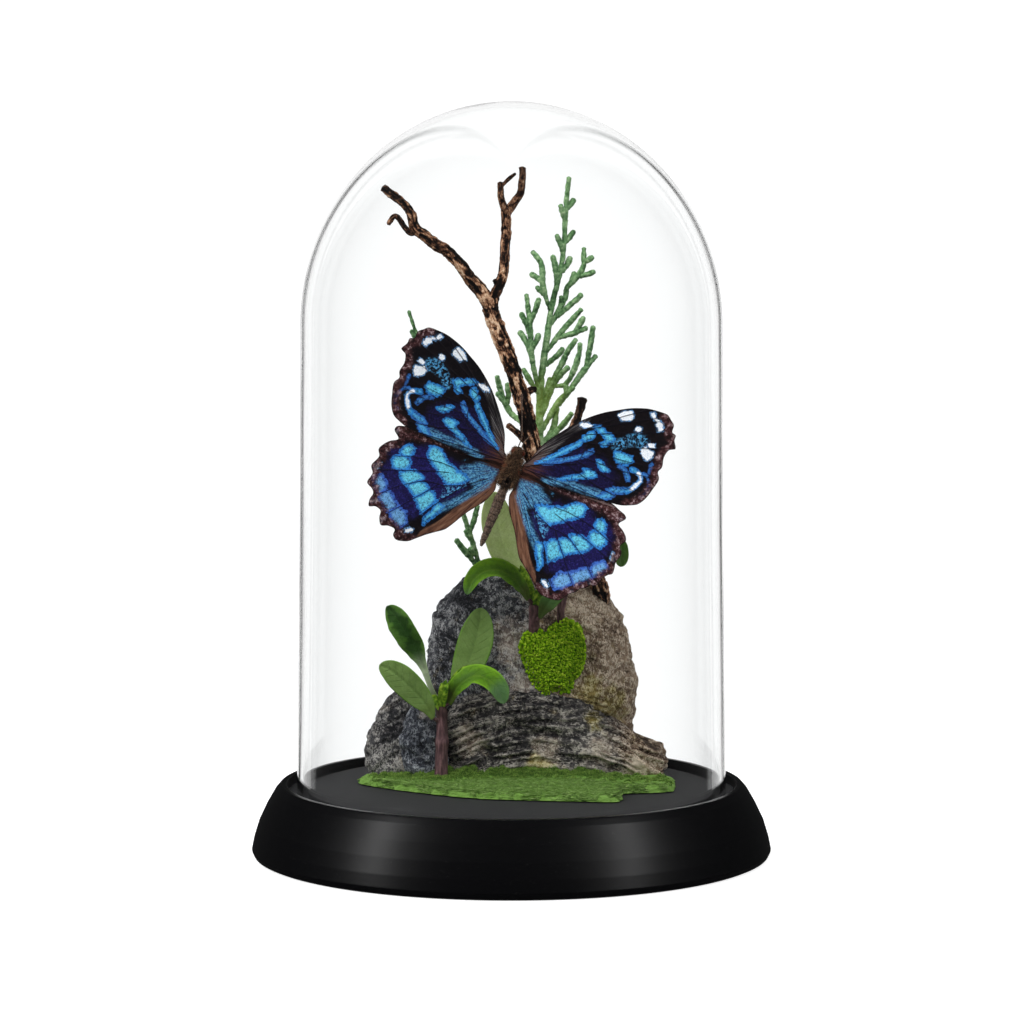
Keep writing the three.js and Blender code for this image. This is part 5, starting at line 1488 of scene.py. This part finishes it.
HIND_MARKS = {
    "white": ([], [(0.32, "32.7 -10.2 33.2 -11.4"), (0.35, "30 -19.6 31 -20.3"), (0.35, "26.6 -23.3 27.5 -24"),
                   (0.35, "18.8 -23.8 19.8 -24.4"), (0.35, "31.6 -1 32.2 -1.2")]),
    "cyan": (
        ["9.5 -6 11 -5.25 12.25 -5 13 -5.25 14.25 -4.1 16 -3.75 16.75 -3.25 18.25 -1.75 19.5 -1.1 21 -1 "
        "22 -1.75 21.9 -3.25 "
         "21.25 -4.5 20 -5.25 18.5 -6.25 17 -7.5 15.5 -8.5 14.5 -9 13 -8.75 11.5 -8 10.25 -7",
         "25.5 -3.25 26.5 -2.75 27.75 -3 28.5 -4 28.6 -5.5 27.75 -6 26.5 -5.9 25.75 -5",
         "25.25 -7.5 26 -6.5 27.75 -6.25 29.5 -7 30 -8.25 29.25 -10 27.75 -10 26 -9.25 25.25 -8.25",
         "20.5 -10 22 -9 23.5 -8.75 25 -9.25 27 -10.5 26.5 -11.5 25.25 -12.5 24 -13",
         "18.25 -12 20 -10.75 21.5 -11 23 -12.25 24 -13 22.75 -14 21 -15 20 -14.25",
         "15.5 -14 17 -12.5 18.25 -12.5 19.5 -14.25 21 -15.5 19.5 -16.75 18.5 -18 17.75 -18.75 16.5 -16.25",
         "13 -15 15 -14.5 15.5 -17 16.25 -18.5 16.75 -19.75 16.25 -21 15.75 -20 14.5 -18"], []),
    "blue": (
        ["30 -13.75 31.25 -12.75 32.5 -13.75 33 -14.25 32 -16 30.75 -17.5 30 -17.75 28.75 -16 29 -14.75",
         "26.5 -17 28 -16 30 -18 29.25 -19.25 27.5 -20.5 26.25 -21.5 24.25 -19.25",
         "22 -19.75 24 -19.25 25.75 -21.25 24 -23.25 22 -24.5 20.75 -23 20.25 -22.5 21.25 -21"], []),
    "teal": (["3.5 -1.4 8 -1 12.4 -3.6 9.6 -5.4 6.6 -8 4 -6"], [(0.6, "5 -6 8 -9.6 11 -13 14 -16")]),
    "mottle": (["3.5 -1.4 12 -2 14 -9 14.6 -17.4 12 -15 8 -11 4.6 -7.6"], []),
    "violet": (["8 -4 22 -1 31 -4 32 -14 26 -20 19 -21 13 -14 9 -9"], []),
    "brown": (["2.2 -4.4 4 -4 8 -11 12 -18 16 -23.5 16.4 -25 10 -20 5 -12 2.4 -7.6",
               "14 3.2 27.5 2.3 32 0.6 31 -0.6 25 0.4 18 0.6"], []),
    "vein": ([], [
        (0, "5 -4 10 -7.8 15 -9.8 18 -10 21 -10.8 24 -12.6 27 -15 30 -17.8"),
        (0, "16.5 -10 18 -12 20.5 -15 23.5 -18.8 25.8 -21.5 28 -24"),
        (0, "10 -8 13 -12 15.5 -15.5 18 -19.5 20.8 -23.5"),
        (0, "14 -4.5 17.5 -4.3 21 -4.7"), (0, "15 -6 19 -7.2 25 -9.3 28.5 -10.5 34.2 -12.6"),
        (0, "21 -4.7 26 -5.7 29 -6.8 33.4 -8.2")]),
}


def line_distance(points, line):
    """Distance from each place to an open line of straight parts."""
    start, edge = line[:-1], np.diff(line, axis=0)
    away = points[:, None] - start
    share = np.clip((away * edge).sum(-1) / (edge**2).sum(-1), 0, 1)
    return np.linalg.norm(away - share[..., None] * edge, axis=-1).min(1)


def depths(points, marks):
    """For each colour, the depth inside its outlines and lines: the largest of all, at least -6 mm."""
    found = {}
    for colour, (outlines, lines) in marks.items():
        layers = [inside_depth(points, pairs(text)) for text in outlines]
        layers += [half - line_distance(points, pairs(text)) for half, text in lines]
        found[colour] = np.maximum(np.max(layers, axis=0), -6.0)
    return found


TOP_ROWS, UNDER_ROWS = 112, 36


def wing(outline, middle, marks, side, lift, swing=0.0):
    """A wing as a fan of (outline - middle) s + middle, top then underside, with its depths stored.

    In the insect's axes w = lift + u tan(9 degrees) + thickness + camber, where the camber is a slow wave
    that the fore and hind wing share, so that they never meet."""
    ring = outline_ring(outline, 340)
    share = np.append(np.linspace(0.02, 1, TOP_ROWS) ** 0.85, np.linspace(1, 0.02, UNDER_ROWS))[:, None, None]
    seen = np.asarray(middle) + (ring - middle)[None] * share
    flat = seen.reshape(-1, 2)
    rim = inside_depth(seen[:TOP_ROWS].reshape(-1, 2), ring).reshape(TOP_ROWS, -1)
    rim = np.vstack([rim, rim[::-1][:: TOP_ROWS // UNDER_ROWS][:UNDER_ROWS]])
    values = {name: value.reshape(seen.shape[:2]) for name, value in depths(flat, marks).items()}
    away = seen - [0.3, outline[0][1] - 0.8]
    outer = outline[outline[:, 0] >= 32] if lift > 0 else outline[(outline[:, 0] >= 18) & (outline[:, 1] <= 0.6)]
    margin = line_distance(flat, outer)
    if lift < 0:
        margin = np.minimum(margin, line_distance(flat, outline[2:7]) - 1.5)
    values["margin"] = margin.reshape(seen.shape[:2])
    values |= {"rim": rim, "under": np.append(np.zeros(TOP_ROWS), np.ones(UNDER_ROWS))[:, None] + 0 * rim,
               "ray": np.arctan2(away[..., 1], away[..., 0]), "reach": np.hypot(away[..., 0], away[..., 1]),
               "fore": (lift > 0) + 0 * rim}
    root = outline[0]
    cos, sin = np.cos(swing), np.sin(swing)
    turned_seen = (seen - root) @ np.array([[cos, sin], [-sin, cos]]) + root
    u, v = turned_seen[..., 0], turned_seen[..., 1]
    camber = 0.28 * np.sin(0.13 * u + 0.4) * np.cos(0.09 * v) + 0.1 * np.sin(0.32 * u - 0.25 * v)
    w = lift + u * np.tan(RAISE) + camber + np.where(values["under"] > 0, 0.0, 0.16)
    w = w + 0.05 * np.exp(-((values["vein"] / 0.3) ** 2))
    return surface(on_twig(np.stack([side * u, v, w], -1)), **values)


print("fore and hind markings:", {name: len(a) + len(b) for name, (a, b) in FORE_MARKS.items()},
      {name: len(a) + len(b) for name, (a, b) in HIND_MARKS.items()})

# %% [markdown]
# ## The finish of a wing
#
# The ground is a black made of dark brown scales, with deep indigo where the scales shine. Blue bands sit
# on it, lighter at their heart and worn in specks, crossed by thin dark veins. Noise drawn out along the
# rays from the wing's root frays every edge, as rows of scales do. The margin is a mottled red-brown.

# %% Wing colours
def wing_scales(t):
    place = t.place()
    grain = t.noise(place, 0.22, 3.0, 0.7)
    speck = t.noise(place, 0.45, 4.0, 0.75)
    cloud = t.noise(place, 3.2, 3.0, 0.6)
    ray, reach = t.value("ray"), t.value("reach")
    drawn = lambda fine, slow: t.node("TexNoise", t.node(
        "CombineXYZ", ray * fine, reach * slow, t.value("fore")), None, 1.0, 4.0, 0.65)
    streak = drawn(24.0, 0.16)
    shift = (streak - 0.5) * 1.5 + (drawn(11.0, 0.06) - 0.5) * 1.3

    def mask(name, grow=0.0, ragged=0.8, soft=0.13):
        depth = t.value(name) + grow + shift
        return t.group(RAGGED, Distance=depth, Raggedness=ragged, Softness=soft, Size=0.5)

    colour = t.ramp(speck * 0.6 + grain * 0.4,
                    (0.36, rgb(4, 2, 6)), (0.54, rgb(12, 8, 13)), (0.72, rgb(50, 35, 36)))
    violet = t.between(t.value("violet") + (cloud - 0.5) * 5.0, -1.0, 1.8)
    indigo = t.ramp(speck, (0.34, rgb(10, 8, 36)), (0.55, rgb(28, 24, 84)), (0.74, rgb(62, 62, 148)))
    violet = violet * (1.0 - t.value("fore") * 0.55)
    colour = t.mix(violet * t.between(streak, 0.3, 0.5, 0.35, 1.0), colour, indigo)
    chestnut = t.ramp(streak, (0.34, rgb(58, 36, 32)), (0.52, rgb(112, 76, 58)), (0.68, rgb(142, 104, 82)))
    silver = t.ramp(drawn(60.0, 0.1), (0.42, rgb(12, 9, 12)), (0.52, rgb(66, 62, 64)),
        (0.62, rgb(134, 132, 132)))
    brown = t.mix(t.value("fore"), chestnut, silver)
    colour = t.mix(mask("brown", 0.1, 0.6, 0.4) * 0.95, colour, brown)
    rooted = t.between(reach, 3.0, 11.0, 0.75, 0.0)
    colour = t.mix(rooted * t.between(drawn(40.0, 0.1), 0.42, 0.56), colour, rgb(96, 58, 44))
    teal = mask("teal", 0.3, 0.8, 0.7) * t.between(drawn(34.0, 0.22), 0.36, 0.54)
    colour = t.mix(teal, colour, t.mix(t.between(speck, 0.4, 0.6), rgb(34, 78, 134), rgb(98, 166, 204)))
    spots = mask("mottle", 0.5, 0.9, 0.5) * t.between(t.noise(place, 0.75, 5.0, 0.75), 0.49, 0.56)
    colour = t.mix(spots * (1.0 - mask("teal", 1.5)), colour, rgb(84, 160, 212))
    worn = t.between(t.noise(place, 0.6, 6.0, 0.85), 0.42, 0.5, 0.05, 1.0)
    fore = t.value("fore")
    for name, grow, rims, hearts in (
            ("blue", 0.45, (rgb(66, 108, 204), rgb(48, 108, 188)), (rgb(126, 188, 240), rgb(92, 188, 238))),
            ("cyan", 0.42, (rgb(50, 138, 222), rgb(44, 130, 210)), (rgb(118, 228, 252), rgb(108, 216, 248)))):
        heart = t.between(t.value(name) + shift * 0.5, -0.1, 0.8)
        band = t.mix(heart, t.mix(fore, *rims), t.mix(fore, *hearts))
        band = t.mix(t.between(grain, 0.36, 0.62, 0.5, 0.0), band, rgb(34, 80, 150))
        grown = grow - fore * 0.15
        kept = t.math("MAXIMUM", worn, heart * 0.3)
        colour = t.mix(mask(name, grown) * kept, colour, band)
    ring = mask("white", 0.45, 0.7, 0.2) * t.between(speck, 0.46, 0.56)
    colour = t.mix(ring, colour, rgb(112, 166, 222))
    colour = t.mix(mask("white", 0.1, 0.7), colour,
        t.mix(t.between(grain, 0.34, 0.5), rgb(168, 186, 214), rgb(246, 249, 252)))
    vein = t.between(t.value("vein"), -0.22, -0.05)
    colour = t.mix(vein * 0.85, colour, rgb(12, 8, 18))
    width = 0.7 + drawn(15.0, 0.0) * 2.6
    edge = t.value("margin") + (speck - 0.5) * 2.4 - width
    rusty = t.ramp(t.noise(place, 1.3, 6.0, 0.8), (0.4, rgb(14, 7, 9)), (0.5, rgb(60, 30, 32)),
        (0.56, rgb(98, 66, 68)),
                   (0.64, rgb(190, 168, 172)))
    colour = t.mix(t.between(edge, -0.6, 0.5, 1.0, 0.0) * 0.92, colour, rusty)
    tick = t.between(t.value("margin"), 0.2, 0.8, 0.7, 0.0) * t.between(drawn(30.0, 0.0), 0.53, 0.62)
    colour = t.mix(tick, colour, rgb(168, 146, 144))
    colour = t.mix(t.between(t.value("rim"), 0.08, 0.36, 0.75, 0.0), colour, rgb(18, 11, 12))
    beneath = t.ramp(cloud, (0.35, rgb(74, 52, 38)), (0.55, rgb(112, 84, 62)), (0.7, rgb(150, 124, 98)))
    colour = t.mix(t.value("under"), colour, beneath)
    relief = grain * 0.3 + vein
    return {
        "Base_Color": colour,
        "Roughness": t.between(grain, 0.3, 0.7, 0.45, 0.7),
        "Normal": t.group(RELIEF, Height=relief, Depth=0.07),
    }


WING = make_finish("wing_scales", wing_scales, Specular_IOR_Level=0.18)
FORE_LIFT, HIND_LIFT = 0.5, -0.15
SWING = np.radians(-2.8)
for word, side, hind in (("left", -1, LEFT_HINDWING), ("right", 1, RIGHT_HINDWING)):
    swing = SWING if side < 0 else 0.0
    make_piece(word + "_forewing_scales", wing(FOREWING, [3.2, 2.2], FORE_MARKS, side, FORE_LIFT, swing), WING,
               "wing_blue", word + "_forewing")
    make_piece(word + "_hindwing_scales", wing(hind, [4.0, -2.0], HIND_MARKS, side, HIND_LIFT), WING,
               "wing_blue", word + "_hindwing")

# %% [markdown]
# ## Light, floor and camera
#
# A pale floor, a white surrounding that darkens a little towards the front, one large soft lamp above the
# front and two lamps at the sides. Light linking gives two leaning strips to the lacquer alone, where they
# draw two soft lines, and three tall glows behind to the glass alone, which show its edges. The other lamps
# pass the glass by, because a lamp that mirrors in it would lay a grey veil over the twig.

# %% Stage
scene = bpy.context.scene
scene.view_settings.view_transform = "Standard"
FLOOR_HALF = 4.0
floor_mesh = bpy.data.meshes.new("floor")
floor_mesh.from_pydata(
    [(x * FLOOR_HALF, y * FLOOR_HALF, 0.0) for x, y in ((-1, -1), (1, -1), (1, 1), (-1, 1))], [],
    [(0, 1, 2, 3)])
floor = bpy.data.objects.new("floor", floor_mesh)
scene.collection.objects.link(floor)
floor_mesh.materials.append(make_finish("pale_floor", lambda t: {
    "Base_Color": t.mix(t.noise(t.place(), 400, 2.0), rgb(196, 196, 196), rgb(200, 200, 200))}, Roughness=0.9,
    Specular_IOR_Level=0.0, Emission_Color=(1, 1, 1, 1), Emission_Strength=0.8))
floor.visible_glossy = False
floor.visible_transmission = False

world = bpy.data.worlds.new("white_studio")
world.use_nodes = True
scene.world = world
sky = Tree(world.node_tree)
way = sky.node("SeparateXYZ", sky.node("TexCoord", out="Generated")).socket.node.outputs
path = sky.node("LightPath").socket.node.outputs
unturned = sky.math("MULTIPLY",
    *(sky.math("LESS_THAN", path[name], 0.5) for name in ("Diffuse Depth", "Glossy Depth")))
seen = sky.math("MAXIMUM", path["Is Camera Ray"], path["Is Transmission Ray"] * unturned)
mirrored = sky.math("GREATER_THAN", path["Glossy Depth"], 0.5) * sky.math("LESS_THAN",
    path["Diffuse Depth"], 0.5)
lit = sky.between(way[1], -0.6, 0.5, 0.34, 0.6)
aside = sky.math("ARCTAN2", sky.math("ABSOLUTE", way[0]), way[1]) / np.pi
grey = lambda value: (value, value, value, 1.0)
panels = sky.ramp(
    aside, (0.0, grey(1.0)), (0.09, grey(1.0)), (0.098, grey(0.0)), (0.118, grey(0.0)),
    (0.126, grey(1.0)), (0.25, grey(1.0)), (0.272, grey(0.08)), (0.6, grey(0.08)), (1.0, grey(0.04)))
outside = path["Is Glossy Ray"] * sky.math("LESS_THAN", path["Transmission Depth"], 0.5)
colour = sky.mix(mirrored, lit, sky.mix(outside, panels, grey(0.03)))
background = world.node_tree.nodes["Background"]
sky.feed(background.inputs[0], sky.mix(seen, colour, grey(1.12)))


def soft_lamp(name, place, size, watts, target=(0, 0, 0.1), upright=(0, 0, 1)):
    """A lamp of size (wide, tall) in metres that looks at target, with its tall side along upright."""
    lamp = bpy.data.lights.new(name, "AREA")
    lamp.shape, lamp.size, lamp.size_y, lamp.energy = "RECTANGLE", *size, watts
    item = bpy.data.objects.new(name, lamp)
    item.location = place
    back = (Vector(place) - Vector(target)).normalized()
    across = Vector(upright).cross(back).normalized()
    item.rotation_euler = Matrix((across, back.cross(across), back)).transposed().to_euler()
    scene.collection.objects.link(item)
    return item


def lit_only(name, pieces, lamps, state):
    """Let lamps light only these pieces, state INCLUDE, or all but these, state EXCLUDE."""
    chosen = bpy.data.collections.new(name)
    for piece in pieces:
        chosen.objects.link(piece)
    for entry in chosen.collection_objects:
        entry.light_linking.link_state = state
    for lamp in lamps:
        lamp.light_linking.receiver_collection = chosen


top_soft = soft_lamp("top_soft", (-0.45, -0.75, 1.3), (1.0, 1.0), 24.5)
top_soft.visible_glossy = False
lit_only("case_top", [dome], [top_soft], "EXCLUDE")
sides = [soft_lamp("left_side", (-0.93, -0.37, 0.6), (0.1, 0.8), 3.5, (0, 0, 0.3)),
         soft_lamp("right_side", (0.81, -0.59, 0.6), (0.1, 0.8), 3.5, (0, 0, 0.3))]
lit_only("case", [dome, base_disc], sides, "EXCLUDE")
strips = [soft_lamp("left_strip", (-0.92, -0.36, 0.63), (0.17, 0.98), 7.6, (0, 0, -0.05),
    (-0.095, 0.245, 0.95)),
          soft_lamp("right_strip", (0.845, -0.518, 0.625), (0.17, 0.98), 6.9, (0, 0, -0.05),
          (0.137, 0.222, 0.95))]
lit_only("lacquered", [base_disc], strips, "INCLUDE")
glows = []
for number, (x, wide) in enumerate(((0, 1.9), (-2.13, 1.75), (2.13, 1.75))):
    glow = soft_lamp("glow_%d" % number, (x, 3, 2), (wide, 6), 6 * wide * np.pi, (x, 0, 2))
    glow.visible_camera = glow.visible_transmission = glow.visible_diffuse = False
    glows.append(glow)
lit_only("glass", [dome], glows, "INCLUDE")

camera_data = bpy.data.cameras.new("camera")
camera_data.lens, camera_data.sensor_width = 139.8, 36.0
camera = bpy.data.objects.new("camera", camera_data)
camera.location = (0.00016, -1.056, 0.1875)
camera.rotation_euler = (np.pi / 2 - 0.09, 0, 0)
scene.collection.objects.link(camera)
scene.camera = camera
